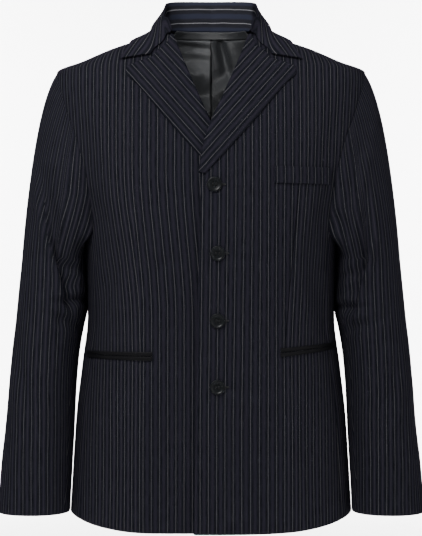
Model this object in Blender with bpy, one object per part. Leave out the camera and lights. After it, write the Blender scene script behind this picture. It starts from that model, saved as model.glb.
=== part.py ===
"""A pinstripe blazer, filled out as it is worn, each cut piece a thin closed wall.

Metres, +Z up, the front faces -Y, and the wearer's left is at +X.  The origin is the
middle of the neck hole at the height of the back neck seam, where a wearer holds it.
Every piece is a grid of points on the body, sleeve or collar form, given a thickness.
"""
import math

import bmesh
import bpy
import numpy as np

# Cloth and seams
CLOTH = 0.0020           # wall of one cut piece
SEAM = 0.0003            # clear gap at every seam
LAYER = CLOTH + SEAM     # from one cloth's middle to the next one lying on it
EDGE_SHARP = math.radians(35.0)

# Lengths down from the back neck seam
HEM_FRONT_Z = -0.7135
HEM_SIDE_Z = -0.6950
HEM_BACK_Z = -0.7020
ARMPIT_Z = -0.2980
SHOULDER_Z = -0.0742
NECK_POINT_Z = -0.0080
BREAK_Z = -0.2255        # where the lapel starts to turn

# Body form: height, half width, depth in front, depth behind
BODY_LEVELS = (
    (-0.7200, 0.2005, 0.1210, 0.1290),
    (-0.6950, 0.1990, 0.1200, 0.1280),
    (-0.6250, 0.1950, 0.1180, 0.1260),
    (-0.5580, 0.1905, 0.1165, 0.1230),
    (-0.4890, 0.1825, 0.1150, 0.1150),
    (-0.4210, 0.1748, 0.1160, 0.1080),
    (-0.3600, 0.1755, 0.1210, 0.1110),
    (-0.2980, 0.1800, 0.1255, 0.1200),
    (-0.2350, 0.1960, 0.1235, 0.1265),
    (-0.1800, 0.2110, 0.1150, 0.1285),
    (-0.1300, 0.2200, 0.1020, 0.1255),
    (-0.0980, 0.2230, 0.0900, 0.1190),
    (-0.0742, 0.2195, 0.0795, 0.1110),
    (-0.0600, 0.1848, 0.0735, 0.1060),
    (-0.0441, 0.1482, 0.0665, 0.1000),
    (-0.0380, 0.1315, 0.0635, 0.0975),
    (-0.0295, 0.1045, 0.0590, 0.0940),
    (-0.0185, 0.0845, 0.0530, 0.0895),
    (-0.0080, 0.0740, 0.0480, 0.0855),
    (0.0040, 0.0620, 0.0420, 0.0800),
)
ROUNDING = 2.35          # 2 is an ellipse, more is squarer
OUTLINE_START = -25.0    # degrees past the middle front where an outline's points begin
OUTLINE_STEPS_A_DEGREE = 4

# Front edges: height, distance of the edge past the middle of the body
FRONT_EDGE = (
    (-0.7200, 0.0235), (-0.6900, 0.0232), (-0.5500, 0.0200),
    (-0.4000, 0.0175), (-0.2600, 0.0145), (-0.2255, 0.0130),
)
# Roll line of the lapel above that: height, half distance across the neck opening
ROLL_LINE = (
    (-0.2255, -0.0130), (-0.2000, -0.0100), (-0.1630, -0.0005),
    (-0.1190, 0.0185), (-0.0860, 0.0325), (-0.0500, 0.0470), (-0.0200, 0.0580),
    (-0.0080, 0.0625),
)
UNDER_SHIFT = 0.0100     # the under front lies this far inside the upper one
UNDER_FLAT = 0.025       # and comes out level with it from here
UNDER_OUT = 0.115
UNDER_TOP_Z, UNDER_END_Z = -0.150, -0.060     # and as it climbs, between these heights

# Armhole seam: height, distance from the middle on the front, and on the back
ARMHOLE = (
    (-0.2980, 0.1642, 0.1550), (-0.2780, 0.1655, 0.1630), (-0.2500, 0.1690, 0.1720),
    (-0.2150, 0.1755, 0.1810), (-0.1750, 0.1862, 0.1900), (-0.1300, 0.2025, 0.2030),
    (-0.0950, 0.2135, 0.2130), (-0.0742, 0.2188, 0.2188),
)
SIDE_FRONT_ANGLE = math.radians(64.0)    # seam between front and side body at the armhole
SIDE_BACK_ANGLE = math.radians(123.0)    # seam between side body and back

# Back neckline: height at the middle of the back, and half width of the neck hole
BACK_NECK_DROP = 0.0040

# Sleeve below the armpit: height, outer side, inner side, front, back, and how far the inner
# side swings in behind the body
SLEEVE = (
    (-0.7080, 0.3000, 0.2035, -0.0810, 0.0180, 0.000),
    (-0.6838, 0.2985, 0.2030, -0.0810, 0.0210, 0.000),
    (-0.6266, 0.2940, 0.2005, -0.0815, 0.0310, 0.000),
    (-0.5810, 0.2895, 0.1985, -0.0820, 0.0390, 0.000),
    (-0.5236, 0.2855, 0.1945, -0.0815, 0.0490, 0.000),
    (-0.4780, 0.2815, 0.1890, -0.0800, 0.0570, 0.002),
    (-0.4344, 0.2770, 0.1828, -0.0780, 0.0650, 0.012),
    (-0.4108, 0.2750, 0.1790, -0.0770, 0.0690, 0.023),
    (-0.3860, 0.2728, 0.1785, -0.0760, 0.0720, 0.028),
    (-0.3400, 0.2685, 0.1800, -0.0745, 0.0780, 0.028),
)
CUFF_Z = -0.6940
SLEEVE_POINTS = 100      # round the whole sleeve
HOLE_POINTS = 40         # up each side of the armhole
# How the sleeve leaves the armhole and comes into the upper arm.  Columns: under the arm,
# and how much more over the crown
LEAVE_OUT, LEAVE_DOWN = (0.004, 0.084), (-0.030, -0.090)
LEAVE_FORWARD, CROWN_POWER = -0.030, 1.2
ARRIVE_OUT, ARRIVE_DOWN = 0.020, (-0.040, -0.230)
ARMHOLE_GAP, ARMPIT_GAP = 0.0012, 0.0050
HEAD_ROLL = 0.0022       # the sleeve head stands this far out over the shoulder point
BICEP_Z = -0.3400
SLEEVE_ROUNDING = 2.15
SLEEVE_GIRTH = 0.40      # round the upper arm, for the lengths of its folds
UNDER_SLEEVE = (0.42, 0.63)      # its seams, as shares of the way round from the shoulder
TOP_COLUMNS, UNDER_COLUMNS = 19, 6
CAP_ROWS, ARM_ROWS = 8, 15
# Drag folds, on the sleeve's own grid.  Columns: start height, start share of the way round
# from the outer side towards the front, end height, end share, depth, half width
LEFT_FOLDS = (
    (-0.150, 0.100, -0.330, 0.290, 0.0055, 0.015), (-0.300, 0.210, -0.455, 0.330, 0.0060, 0.013),
    (-0.395, 0.280, -0.405, 0.470, 0.0055, 0.012), (-0.225, 0.400, -0.330, 0.300, 0.0035, 0.012),
    (-0.360, 0.530, -0.400, 0.590, 0.0030, 0.012), (-0.250, 0.830, -0.360, 0.690, 0.0045, 0.015),
)
RIGHT_FOLDS = (
    (-0.270, 0.120, -0.400, 0.270, 0.0055, 0.014), (-0.200, 0.210, -0.330, 0.330, 0.0050, 0.014),
    (-0.385, 0.260, -0.400, 0.460, 0.0060, 0.012), (-0.330, 0.380, -0.440, 0.310, 0.0035, 0.012),
    (-0.350, 0.530, -0.410, 0.590, 0.0030, 0.012), (-0.240, 0.820, -0.350, 0.700, 0.0040, 0.015),
)

# Lapel, laid flat on the front: its outer edge from the break up to its point, as share of
# the way, distance from the middle and height
LAPEL_EDGE = (
    (0.00, -0.0085, -0.2245), (0.10, 0.0070, -0.2085), (0.50, 0.0585, -0.1512),
    (0.86, 0.1025, -0.0985), (0.95, 0.1172, -0.0825), (1.00, 0.1165, -0.0735),
)
LAPEL_LOW_Z, LAPEL_TOP_Z = -0.2235, -0.0275
# Gorge seam and the lapel's top edge, as share across, distance from the middle and height
GORGE = (
    (0.00, 0.0595, -0.0240), (0.13, 0.0670, -0.0405), (0.30, 0.0772, -0.0490),
    (0.39, 0.0830, -0.0582), (0.70, 0.1005, -0.0664), (1.00, 0.1165, -0.0740),
)
NOTCH_SHARE = 0.39
ROLL_RADIUS = 0.0030
TURNED_IN = 0.009        # the lapel's cloth goes on this far inside the roll
LAPEL_SPRING = 0.0016    # the lapel stands off the front by this much more midway
# Collar, from the middle of the back (0) to the notch (1): share, x, y, z
COLLAR_SEAM = (
    (0.00, 0.0000, 0.0848, -0.0022), (0.25, 0.0400, 0.0757, -0.0032),
    (0.50, 0.0655, 0.0430, -0.0046), (0.75, 0.0705, 0.0020, -0.0052),
    (0.88, 0.0620, -0.0250, -0.0075), (1.00, 0.0535, -0.0450, -0.0225),
)
COLLAR_CREASE = (
    (0.00, 0.0000, 0.0800, 0.0425), (0.25, 0.0430, 0.0690, 0.0408),
    (0.50, 0.0650, 0.0390, 0.0328), (0.75, 0.0670, -0.0060, 0.0080),
    (0.88, 0.0605, -0.0330, -0.0005), (1.00, 0.0548, -0.0550, -0.0190),
)
COLLAR_FALL = (
    (0.00, 0.0000, 0.0935, 0.0180), (0.25, 0.0530, 0.0850, 0.0160),
    (0.50, 0.0770, 0.0500, 0.0065), (0.75, 0.0862, 0.0000, -0.0125),
    (1.00, 0.0830, -0.0500, -0.0590),
)
COLLAR_EDGE = (
    (0.00, 0.0000, 0.0990, -0.0160), (0.25, 0.0570, 0.0930, -0.0190),
    (0.50, 0.0850, 0.0620, -0.0270), (0.75, 0.0905, 0.0100, -0.0240),
    (0.90, 0.1060, -0.0400, -0.0390), (1.00, 0.1235, -0.0480, -0.0660),
)
LEAF_POINT = (0.1240, -0.0665)
FALL_SHARE = 0.45        # how far down the fall COLLAR_FALL lies
NOTCH_GAP = 0.0016
COLLAR_OFF = 0.0045      # collar's middle above the body form
COLLAR_BEND = 0.0035     # half the length of cloth that turns at the crease
COLLAR_END = 0.6         # from here on the fall takes the line of the gorge seam
COLLAR_COLUMNS, STAND_ROWS, CREASE_ROWS, FALL_ROWS = 14, 2, 3, 7

# Lining that shows inside the back
LINING = 0.0012
LINING_IN = 0.0066
LINING_LOW_Z, LINING_TOP_Z, FACING_TOP_Z = -0.2700, -0.0125, -0.0005
LINING_ANGLE, FACING_ANGLE = math.radians(129.0), math.radians(129.0)
LINING_FOLD = (0.0220, -0.0500, 0.0150, -0.0130)     # across and up of its foot and its head
LINING_FOLD_DEPTH, LINING_FOLD_WIDTH = 0.0035, 0.007

# Breast welt: inner and outer lower corners, as distance from the middle and height
WELT_INNER, WELT_OUTER = (0.0850, -0.2368), (0.1635, -0.2372)
WELT_HEIGHT, WELT_CLOTH = 0.0232, 0.0016
CURVE_ROOM = 0.0007      # more where a flat pane spans a curve
WELT_OFF = CLOTH / 2 + SEAM + WELT_CLOTH / 2 + CURVE_ROOM
# Hip pockets: side, mirrored, inner and outer lower corners, height at the inner end
HIP_POCKETS = (
    ("left", False, (0.0940, -0.4735), (0.1720, -0.4650), 0.0120),
    ("right", True, (0.0795, -0.4785), (0.1720, -0.4765), 0.0120),
)
JET_SLOT, JET_TAPER, JET_CLOTH, JET_COLUMNS = 0.0008, 0.75, 0.0014, 10
JET_OFF = CLOTH / 2 + SEAM + JET_CLOTH / 2 + CURVE_ROOM

# Buttons: distance from the middle and height, top to bottom, and the turned profile
BUTTONS = ((0.0047, -0.2390), (0.0088, -0.3320), (0.0088, -0.4235), (0.0088, -0.5137))
BUTTON_PROFILE = (
    (0.0084, 0.0000), (0.0100, 0.0012), (0.0100, 0.0024), (0.0093, 0.0032),
    (0.0082, 0.0032), (0.0068, 0.0023),
)
BUTTON_SIDES = 20
BUTTON_ROOM = 0.0004      # more behind it, for the hollow of the waist

# Number of panes along each grid
LOW_ROWS, SHOULDER_ROWS, FRONT_COLUMNS = 13, 6, 12
SIDE_COLUMNS, BACK_COLUMNS = 6, 8


def tangents(xs, ys):
    """Slopes at the knots, flat where the values turn, so that a curve never overshoots."""
    steps = np.diff(xs)
    slopes = np.diff(ys) / steps
    inner = np.where(slopes[1:] * slopes[:-1] > 0.0,
                     2.0 * slopes[1:] * slopes[:-1] / (slopes[1:] + slopes[:-1] + 1e-12), 0.0)
    return np.concatenate(([slopes[0]], inner, [slopes[-1]]))


def along(table, at, column=1):
    """Smooth value of one column of a table whose first column rises."""
    rows = np.asarray(table, dtype=float)
    xs, ys = rows[:, 0], rows[:, column]
    slopes = tangents(xs, ys)
    at = np.clip(np.asarray(at, dtype=float), xs[0], xs[-1])
    k = np.clip(np.searchsorted(xs, at, side="right") - 1, 0, len(xs) - 2)
    width = xs[k + 1] - xs[k]
    s = (at - xs[k]) / width
    return ((2 * s**3 - 3 * s**2 + 1) * ys[k] + (s**3 - 2 * s**2 + s) * width * slopes[k]
            + (3 * s**2 - 2 * s**3) * ys[k + 1] + (s**3 - s**2) * width * slopes[k + 1])


def smoothstep(low, high, value):
    """0 below low, 1 above high, and a soft step between."""
    s = np.clip((np.asarray(value, dtype=float) - low) / (high - low), 0.0, 1.0)
    return s * s * (3.0 - 2.0 * s)


def section(z):
    """The body's outline at one height, from past the middle front round to the middle back.

    Returns the angle, x and y of fine points and the length of cloth up to each one.
    """
    w, f, b = (float(along(BODY_LEVELS, z, c)) for c in (1, 2, 3))
    count = int((180.0 - OUTLINE_START) * OUTLINE_STEPS_A_DEGREE) + 1
    angle = np.radians(np.linspace(OUTLINE_START, 180.0, count))
    power = 2.0 / ROUNDING
    sine, cosine = np.sin(angle), np.cos(angle)
    x = w * np.sign(sine) * np.abs(sine) ** power
    y = -np.where(cosine > 0.0, f, b) * np.sign(cosine) * np.abs(cosine) ** power
    run = np.concatenate(([0.0], np.cumsum(np.hypot(np.diff(x), np.diff(y)))))
    return angle, x, y, run


def run_at_x(outline, x_wanted, behind=False):
    """Length of cloth up to a distance from the middle, on the front or behind."""
    _, x, _, run = outline
    half = int((90.0 - OUTLINE_START) * OUTLINE_STEPS_A_DEGREE)
    if behind:
        return float(np.interp(-x_wanted, -x[half:], run[half:]))
    return float(np.interp(x_wanted, x[:half], run[:half]))


def run_at_angle(outline, angle_wanted):
    """Length of cloth up to an angle round the body."""
    return float(np.interp(angle_wanted, outline[0], outline[3]))


def row_between(z, start, end, columns):
    """Evenly spaced points of the body's outline at one height."""
    _, x, y, run = section(z)
    wanted = np.linspace(start, end, columns + 1)
    return np.stack((np.interp(wanted, run, x), np.interp(wanted, run, y),
                     np.full(columns + 1, z)), axis=1)


def front_point(x, z, out=0.0):
    """Points of the front of the body form, given across and up, moved out by a distance."""
    x, z = np.asarray(x, dtype=float), np.asarray(z, dtype=float)

    def depth(across, up):
        ratio = np.clip(np.abs(across) / along(BODY_LEVELS, up, 1), 0.0, 0.9995)
        return -along(BODY_LEVELS, up, 2) * (1.0 - ratio**ROUNDING) ** (1.0 / ROUNDING)

    step = 0.0005
    y = depth(x, z)
    slope_x = (depth(x + step, z) - depth(x - step, z)) / (2 * step)
    slope_z = (depth(x, z + step) - depth(x, z - step)) / (2 * step)
    normal = np.stack((slope_x, -np.ones_like(y), slope_z), axis=-1)
    normal /= np.linalg.norm(normal, axis=-1, keepdims=True)
    out = np.broadcast_to(np.asarray(out, dtype=float), y.shape)
    return np.stack(np.broadcast_arrays(x, y, z), axis=-1) + normal * out[..., None]


def tuck_under(points):
    """Move the right front's overlap inside the left front, softly from UNDER_OUT to UNDER_FLAT."""
    moved = points.copy()
    near = 1.0 - smoothstep(UNDER_FLAT, UNDER_OUT, points[..., 0])
    moved[..., 1] += UNDER_SHIFT * near * (1.0 - smoothstep(UNDER_TOP_Z, UNDER_END_Z, points[..., 2]))
    return moved


def drop_hem(points, angle):
    """Lower a panel's last rows to the hem, which hangs lowest in front."""
    front = np.cos(angle) > 0.0
    fall = np.where(front, HEM_FRONT_Z, HEM_BACK_Z) - HEM_SIDE_Z
    share = 1.0 - smoothstep(HEM_SIDE_Z, HEM_SIDE_Z + 0.16, points[..., 2])
    points[..., 2] += fall * np.cos(angle) ** 2 * share
    return points


def levels(low, high, count):
    """Evenly spaced heights."""
    return np.linspace(low, high, count + 1)


def front_grid():
    """Half a front: rows from hem to shoulder, columns from the edge or roll line outwards."""
    heights = np.concatenate((levels(HEM_SIDE_Z, ARMPIT_Z, LOW_ROWS),
                              levels(ARMPIT_Z, BREAK_Z, 3)[1:],
                              levels(BREAK_Z, SHOULDER_Z, 7)[1:],
                              levels(SHOULDER_Z, NECK_POINT_Z, SHOULDER_ROWS)[1:]))
    rows = []
    for z in heights:
        outline = section(z)
        inner = -along(FRONT_EDGE, z) if z <= BREAK_Z else along(ROLL_LINE, z)
        start = run_at_x(outline, inner)
        if z <= ARMPIT_Z:
            end = run_at_angle(outline, SIDE_FRONT_ANGLE)
        elif z < SHOULDER_Z - 1e-6:
            end = run_at_x(outline, along(ARMHOLE, z, 1))
        else:
            end = run_at_angle(outline, math.pi / 2)
        row = row_between(z, start, end - SEAM / 2, FRONT_COLUMNS)
        rows.append(drop_hem(row, np.arctan2(row[:, 0], -row[:, 1])))
    return np.array(rows)


def back_grid():
    """Half the back: rows from hem to neck, columns from the side seam to the middle seam."""
    heights = np.concatenate((levels(HEM_SIDE_Z, ARMPIT_Z, LOW_ROWS),
                              levels(ARMPIT_Z, SHOULDER_Z, 9)[1:],
                              levels(SHOULDER_Z, NECK_POINT_Z, SHOULDER_ROWS)[1:]))
    rows = []
    for z in heights:
        outline = section(z)
        if z <= ARMPIT_Z:
            start = run_at_angle(outline, SIDE_BACK_ANGLE)
        elif z < SHOULDER_Z - 1e-6:
            start = run_at_x(outline, along(ARMHOLE, z, 2), behind=True)
        else:
            start = run_at_angle(outline, math.pi / 2)
        end = run_at_angle(outline, math.pi)
        row = row_between(z, start + SEAM / 2, end - SEAM / 2, BACK_COLUMNS)
        middle = 1.0 - smoothstep(0.0, 0.07, row[:, 0])
        rise = BACK_NECK_DROP * middle * smoothstep(SHOULDER_Z, NECK_POINT_Z, z)
        row[:, 2] += rise
        rows.append(drop_hem(row, np.arctan2(row[:, 0], -row[:, 1])))
    return np.array(rows)


def armpit_z(angle):
    """Height of the bottom of the armhole round the side of the body."""
    share = (angle - SIDE_FRONT_ANGLE) / (SIDE_BACK_ANGLE - SIDE_FRONT_ANGLE)
    return ARMPIT_Z - 0.010 * np.sin(np.pi * np.clip(share, 0.0, 1.0))


def side_grid():
    """The side body: rows from hem to armpit, columns from the front seam to the back seam."""
    angles = np.linspace(SIDE_FRONT_ANGLE, SIDE_BACK_ANGLE, SIDE_COLUMNS + 1)
    rows = []
    for share in levels(0.0, 1.0, LOW_ROWS):
        points = []
        for k, angle in enumerate(angles):
            z = HEM_SIDE_Z + share * (armpit_z(angle) - HEM_SIDE_Z)
            outline = section(z)
            gap = SEAM / 2 if k == 0 else (-SEAM / 2 if k == SIDE_COLUMNS else 0.0)
            run = run_at_angle(outline, angle) + gap
            points.append((np.interp(run, outline[3], outline[1]),
                           np.interp(run, outline[3], outline[2]), z))
        row = np.array(points)
        rows.append(drop_hem(row, np.arctan2(row[:, 0], -row[:, 1])))
    return np.array(rows)


def armhole_loop(count):
    """The armhole seam as evenly spaced points, from the shoulder down the front and up behind."""
    path = []
    for z in levels(SHOULDER_Z, ARMPIT_Z, HOLE_POINTS):
        x = float(along(ARMHOLE, z, 1))
        path.append(front_point(x, z))
    for angle in np.linspace(SIDE_FRONT_ANGLE, SIDE_BACK_ANGLE, 24)[1:-1]:
        outline = section(armpit_z(angle))
        run = run_at_angle(outline, angle)
        path.append((np.interp(run, outline[3], outline[1]),
                     np.interp(run, outline[3], outline[2]), armpit_z(angle)))
    for z in levels(ARMPIT_Z, SHOULDER_Z, HOLE_POINTS):
        outline = section(z)
        run = run_at_x(outline, along(ARMHOLE, z, 2), behind=True)
        path.append((np.interp(run, outline[3], outline[1]),
                     np.interp(run, outline[3], outline[2]), z))
    path = np.array([np.asarray(p, dtype=float) for p in path])
    run = np.concatenate(([0.0], np.cumsum(np.linalg.norm(np.diff(path, axis=0), axis=1))))
    wanted = np.linspace(0.0, run[-1], count + 1)
    return np.stack([np.interp(wanted, run, path[:, k]) for k in range(3)], axis=1)


def sleeve_ring(z, shares):
    """Points of the sleeve's level outline, given shares of the way round from the outer side."""
    outer, inner, front, back, swing = (along(SLEEVE, z, c) for c in (1, 2, 3, 4, 5))
    turn = 2 * np.pi * np.asarray(shares)
    power = 2.0 / SLEEVE_ROUNDING
    x = (outer + inner) / 2 + (outer - inner) / 2 * np.sign(np.cos(turn)) * np.abs(np.cos(turn)) ** power
    x -= swing * (1.0 - np.cos(turn)) / 2 * np.clip(-np.sin(turn), 0.0, 1.0) ** 2
    y = (front + back) / 2 - (back - front) / 2 * np.sign(np.sin(turn)) * np.abs(np.sin(turn)) ** power
    return np.stack((x, y, np.full(len(turn), z)), axis=1)


def fold_depth(folds, z, shares):
    """How far the drag folds press the sleeve in, at one height and a row of shares."""
    total = np.zeros(len(shares))
    girth = SLEEVE_GIRTH
    for start_z, start_share, end_z, end_share, depth, half_width in folds:
        line = np.array((end_z - start_z, (end_share - start_share) * girth))
        length = np.hypot(*line)
        dz, ds = z - start_z, (shares - start_share) * girth
        along_line = (dz * line[0] + ds * line[1]) / length
        across = (ds * line[0] - dz * line[1]) / length
        share = np.clip(along_line / length, 0.0, 1.0)
        beyond = np.maximum(np.abs(along_line - length / 2) - length / 2, 0.0)
        fade = np.sin(np.pi * (0.15 + 0.7 * share))
        ridge = np.exp(-(across / half_width) ** 2 - (beyond / 0.025) ** 2)
        swell = np.exp(-((np.abs(across) - 1.9 * half_width) / half_width) ** 2
                       - (beyond / 0.025) ** 2)
        total += depth * fade * (ridge - 0.35 * swell)
    return total


def sleeve_grid(folds):
    """The whole sleeve from armhole to cuff, columns all the way round from the outer side."""
    count = SLEEVE_POINTS
    shares = np.linspace(0.0, 1.0, count + 1)
    crown = (1.0 + np.cos(2 * np.pi * shares)) / 2
    hole = armhole_loop(count)
    hole[:, 0] += ARMHOLE_GAP + (ARMPIT_GAP - ARMHOLE_GAP) * (1.0 - crown) ** 3
    hole[:, 0] += HEAD_ROLL * crown**6
    bicep = sleeve_ring(BICEP_Z, shares)
    leave = np.stack((LEAVE_OUT[0] + LEAVE_OUT[1] * crown**CROWN_POWER,
                      LEAVE_FORWARD * np.sin(2 * np.pi * shares),
                      LEAVE_DOWN[0] + LEAVE_DOWN[1] * crown), axis=1)
    arrive = np.stack((ARRIVE_OUT * crown, np.zeros(count + 1),
                       ARRIVE_DOWN[0] + ARRIVE_DOWN[1] * crown), axis=1)
    rows = []
    for s in levels(0.0, 1.0, CAP_ROWS):
        rows.append((2 * s**3 - 3 * s**2 + 1) * hole + (s**3 - 2 * s**2 + s) * leave
                    + (3 * s**2 - 2 * s**3) * bicep + (s**3 - s**2) * arrive)
    for z in levels(BICEP_Z, CUFF_Z, ARM_ROWS)[1:]:
        rows.append(sleeve_ring(z, shares))
    grid = np.array(rows)
    normal = grid_normals(grid)
    for k, row in enumerate(grid):
        hold = smoothstep(0.0, 3.0, k)
        press = np.array([fold_depth(folds, point[2], np.array([share]))[0]
                          for point, share in zip(row, shares)])
        grid[k] = row - normal[k] * (press * hold)[:, None]
    return grid


def sleeve_normals(grid):
    """Outward normals of the whole sleeve, turning with the fronts and backs at the armhole."""
    wrapped = np.concatenate((grid[:, -4:-1], grid, grid[:, 1:4]), axis=1)
    normal = grid_normals(wrapped)[:, 3:-3]
    shares = np.linspace(0.0, 1.0, grid.shape[1])
    upper = smoothstep(-0.6, 0.2, np.cos(2 * np.pi * shares))[:, None]
    normal[0] += (body_normals(grid[0]) - normal[0]) * upper
    return normal / np.linalg.norm(normal, axis=2, keepdims=True)


def sleeve_part(grid, start, end, columns):
    """Columns of the whole sleeve between two seams, given as shares of the way round."""
    count = grid.shape[1] - 1
    wanted = np.linspace(start, end, columns + 1) * count
    whole = np.concatenate((grid, grid[:, 1:]), axis=1)
    low = np.clip(np.floor(wanted).astype(int), 0, whole.shape[1] - 2)
    share = (wanted - low)[None, :, None]
    return whole[:, low] * (1.0 - share) + whole[:, low + 1] * share


def grid_normals(grid):
    """Unit normals of a grid of points, from its own rows and columns."""
    down = np.gradient(grid, axis=0)
    over = np.gradient(grid, axis=1)
    normal = np.cross(over, down)
    return normal / np.maximum(np.linalg.norm(normal, axis=2, keepdims=True), 1e-12)


def wall(name, grid, material, thickness=CLOTH, mirrored=False, normal=None):
    """One cut piece: the grid given a thickness about its middle, as one closed body."""
    if normal is None:
        normal = grid_normals(grid)
    if mirrored:
        grid = grid * np.array((-1.0, 1.0, 1.0))
        normal = normal * np.array((-1.0, 1.0, 1.0))
    rows, columns = grid.shape[:2]
    sides = np.concatenate(((grid + normal * thickness / 2).reshape(-1, 3),
                            (grid - normal * thickness / 2).reshape(-1, 3)))
    index = np.arange(rows * columns).reshape(rows, columns)
    mesh = bmesh.new()
    points = [mesh.verts.new(p) for p in sides]
    for i in range(rows - 1):
        for j in range(columns - 1):
            corners = (index[i, j], index[i, j + 1], index[i + 1, j + 1], index[i + 1, j])
            mesh.faces.new([points[k] for k in corners])
            mesh.faces.new([points[k + rows * columns] for k in reversed(corners)])
    rim = np.concatenate((index[0, :-1], index[:-1, -1], index[-1, :0:-1], index[:0:-1, 0]))
    for a, b in zip(rim, np.roll(rim, -1)):
        mesh.faces.new([points[k] for k in (b, a, a + rows * columns, b + rows * columns)])
    bmesh.ops.recalc_face_normals(mesh, faces=mesh.faces)
    return place(name, mesh, material)


def place(name, mesh, material):
    """Give a mesh its name and cloth, and put it in the scene."""
    data = bpy.data.meshes.new(name)
    mesh.to_mesh(data)
    mesh.free()
    data.materials.append(material)
    data.shade_smooth()
    data.set_sharp_from_angle(angle=EDGE_SHARP)
    item = bpy.data.objects.new(name, data)
    bpy.context.scene.collection.objects.link(item)
    return item


def lapel_grid():
    """A lapel: rows from the break to the gorge, columns from inside the roll to the outer edge."""
    shares = np.concatenate((np.linspace(0.0, 0.88, 11), (0.93, 0.965, 1.0)))
    across = np.linspace(0.0, 1.0, 8)
    rows = []
    for v in shares:
        roll_z = LAPEL_LOW_Z + v * (LAPEL_TOP_Z - LAPEL_LOW_Z)
        roll = np.array((float(along(ROLL_LINE, roll_z)), roll_z))
        edge = np.array((float(along(LAPEL_EDGE, v, 1)), float(along(LAPEL_EDGE, v, 2))))
        flat = roll + (edge - roll) * across[:, None]
        gorge = np.stack((along(GORGE, across, 1), along(GORGE, across, 2)), axis=1)
        straight = gorge[0] + (gorge[-1] - gorge[0]) * across[:, None]
        flat = flat + (gorge - straight) * v**6
        spring = LAPEL_SPRING * np.sin(np.pi * across) * math.sin(math.pi * (0.05 + 0.9 * v))
        off = ROLL_RADIUS + (LAYER - ROLL_RADIUS) * across + spring
        outside = front_point(flat[:, 0], flat[:, 1], off)
        base = front_point(roll[0], roll[1])
        normal = front_point(roll[0], roll[1], 1.0) - base
        onward = front_point(*(roll + (edge - roll) * 0.05)) - base
        onward /= np.linalg.norm(onward)
        turned = TURNED_IN * min(1.0, 0.35 + 3.0 * v)
        inside = [base + onward * turned * s - normal * ROLL_RADIUS for s in (1.0, 0.5, 0.0)]
        bend = [base + ROLL_RADIUS * (normal * math.sin(t) - onward * math.cos(t))
                for t in np.radians((-54.0, -18.0, 18.0, 54.0))]
        rows.append(np.concatenate((inside, bend, outside)))
    return np.array(rows)


def body_value(points):
    """0 on the body form, more outside it."""
    w = along(BODY_LEVELS, points[..., 2], 1)
    d = np.where(points[..., 1] < 0.0, along(BODY_LEVELS, points[..., 2], 2),
                 along(BODY_LEVELS, points[..., 2], 3))
    return (np.abs(points[..., 0]) / w) ** ROUNDING + (np.abs(points[..., 1]) / d) ** ROUNDING - 1.0


def body_slope(points, step=0.0004):
    """How steeply body_value rises along x, y and z."""
    return np.stack([(body_value(points + step * axis) - body_value(points - step * axis))
                     / (2 * step) for axis in np.eye(3)], axis=-1)


def body_normals(points):
    """Outward unit normals of the body form, the same on both sides of a seam."""
    slope = body_slope(points)
    return slope / np.maximum(np.linalg.norm(slope, axis=-1, keepdims=True), 1e-9)


def clear_of_body(points, off):
    """Push points out until they lie at least this far outside the body form."""
    points = points.copy()
    for _ in range(4):
        slope = body_slope(points)
        steep = np.maximum(np.linalg.norm(slope, axis=-1), 1e-6)
        short = off - body_value(points) / steep
        points += slope / steep[..., None] * np.maximum(short, 0.0)[..., None]
    return points


def collar_grid():
    """Half the collar: rows from the neck seam over the crease to the leaf edge."""
    shares = np.linspace(0.0, 1.0, COLLAR_COLUMNS + 1) ** 0.9
    down = np.linspace(0.0, 1.0, FALL_ROWS + 1)[1:]
    notch = np.array([float(along(GORGE, NOTCH_SHARE, c)) for c in (1, 2)])
    columns = []
    for a in shares:
        seam, crease, fall, edge = (np.array([float(along(t, a, c)) for c in (1, 2, 3)])
                                    for t in (COLLAR_SEAM, COLLAR_CREASE, COLLAR_FALL, COLLAR_EDGE))
        over = fall - crease
        over /= np.linalg.norm(over)
        stand = crease - seam
        height = np.linalg.norm(stand)
        stand /= height
        bend = COLLAR_BEND
        low = [seam + (crease - bend * stand - seam) * s for s in np.linspace(0, 1, STAND_ROWS + 1)]
        start = low[-1]
        end = clear_of_body(crease + bend * 1.2 * over - (0.0, 0.0, 0.001), COLLAR_OFF)
        turn = [(1 - s) ** 2 * start + 2 * s * (1 - s) * (crease + 0.002 * (stand - 0.2 * over))
                + s**2 * end for s in np.linspace(0, 1, CREASE_ROWS + 1)[1:]]
        knots = np.array(((0.0, *end), (FALL_SHARE, *fall), (1.0, *edge)))
        drape = np.stack([along(knots, down, c) for c in (1, 2, 3)], axis=1)
        drape = clear_of_body(drape, COLLAR_OFF * np.minimum(1.0, 0.7 + down))
        if a > COLLAR_END:
            flat = np.where(down[:, None] < FALL_SHARE,
                            np.stack((along(GORGE, down / FALL_SHARE * NOTCH_SHARE, 1),
                                      along(GORGE, down / FALL_SHARE * NOTCH_SHARE, 2)), axis=1),
                            notch + (np.array(LEAF_POINT) - notch)
                            * ((down - FALL_SHARE) / (1 - FALL_SHARE))[:, None])
            flat = flat + NOTCH_GAP * np.array((0.62, 0.78))
            end_column = front_point(flat[:, 0], flat[:, 1], COLLAR_OFF)
            drape += (end_column - drape) * smoothstep(COLLAR_END, 1.0, a) ** 2
            drape = clear_of_body(drape, COLLAR_OFF)
        columns.append(np.concatenate((low, turn, drape)))
    return np.array(columns).transpose(1, 0, 2)


def both_sides(half):
    """A grid of half a piece whose first column is in the middle, joined to its mirror image."""
    other = half[:, :0:-1] * np.array((-1.0, 1.0, 1.0))
    middle = half.copy()
    middle[:, 0, 0] = 0.0
    return np.concatenate((other, middle), axis=1)


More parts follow.
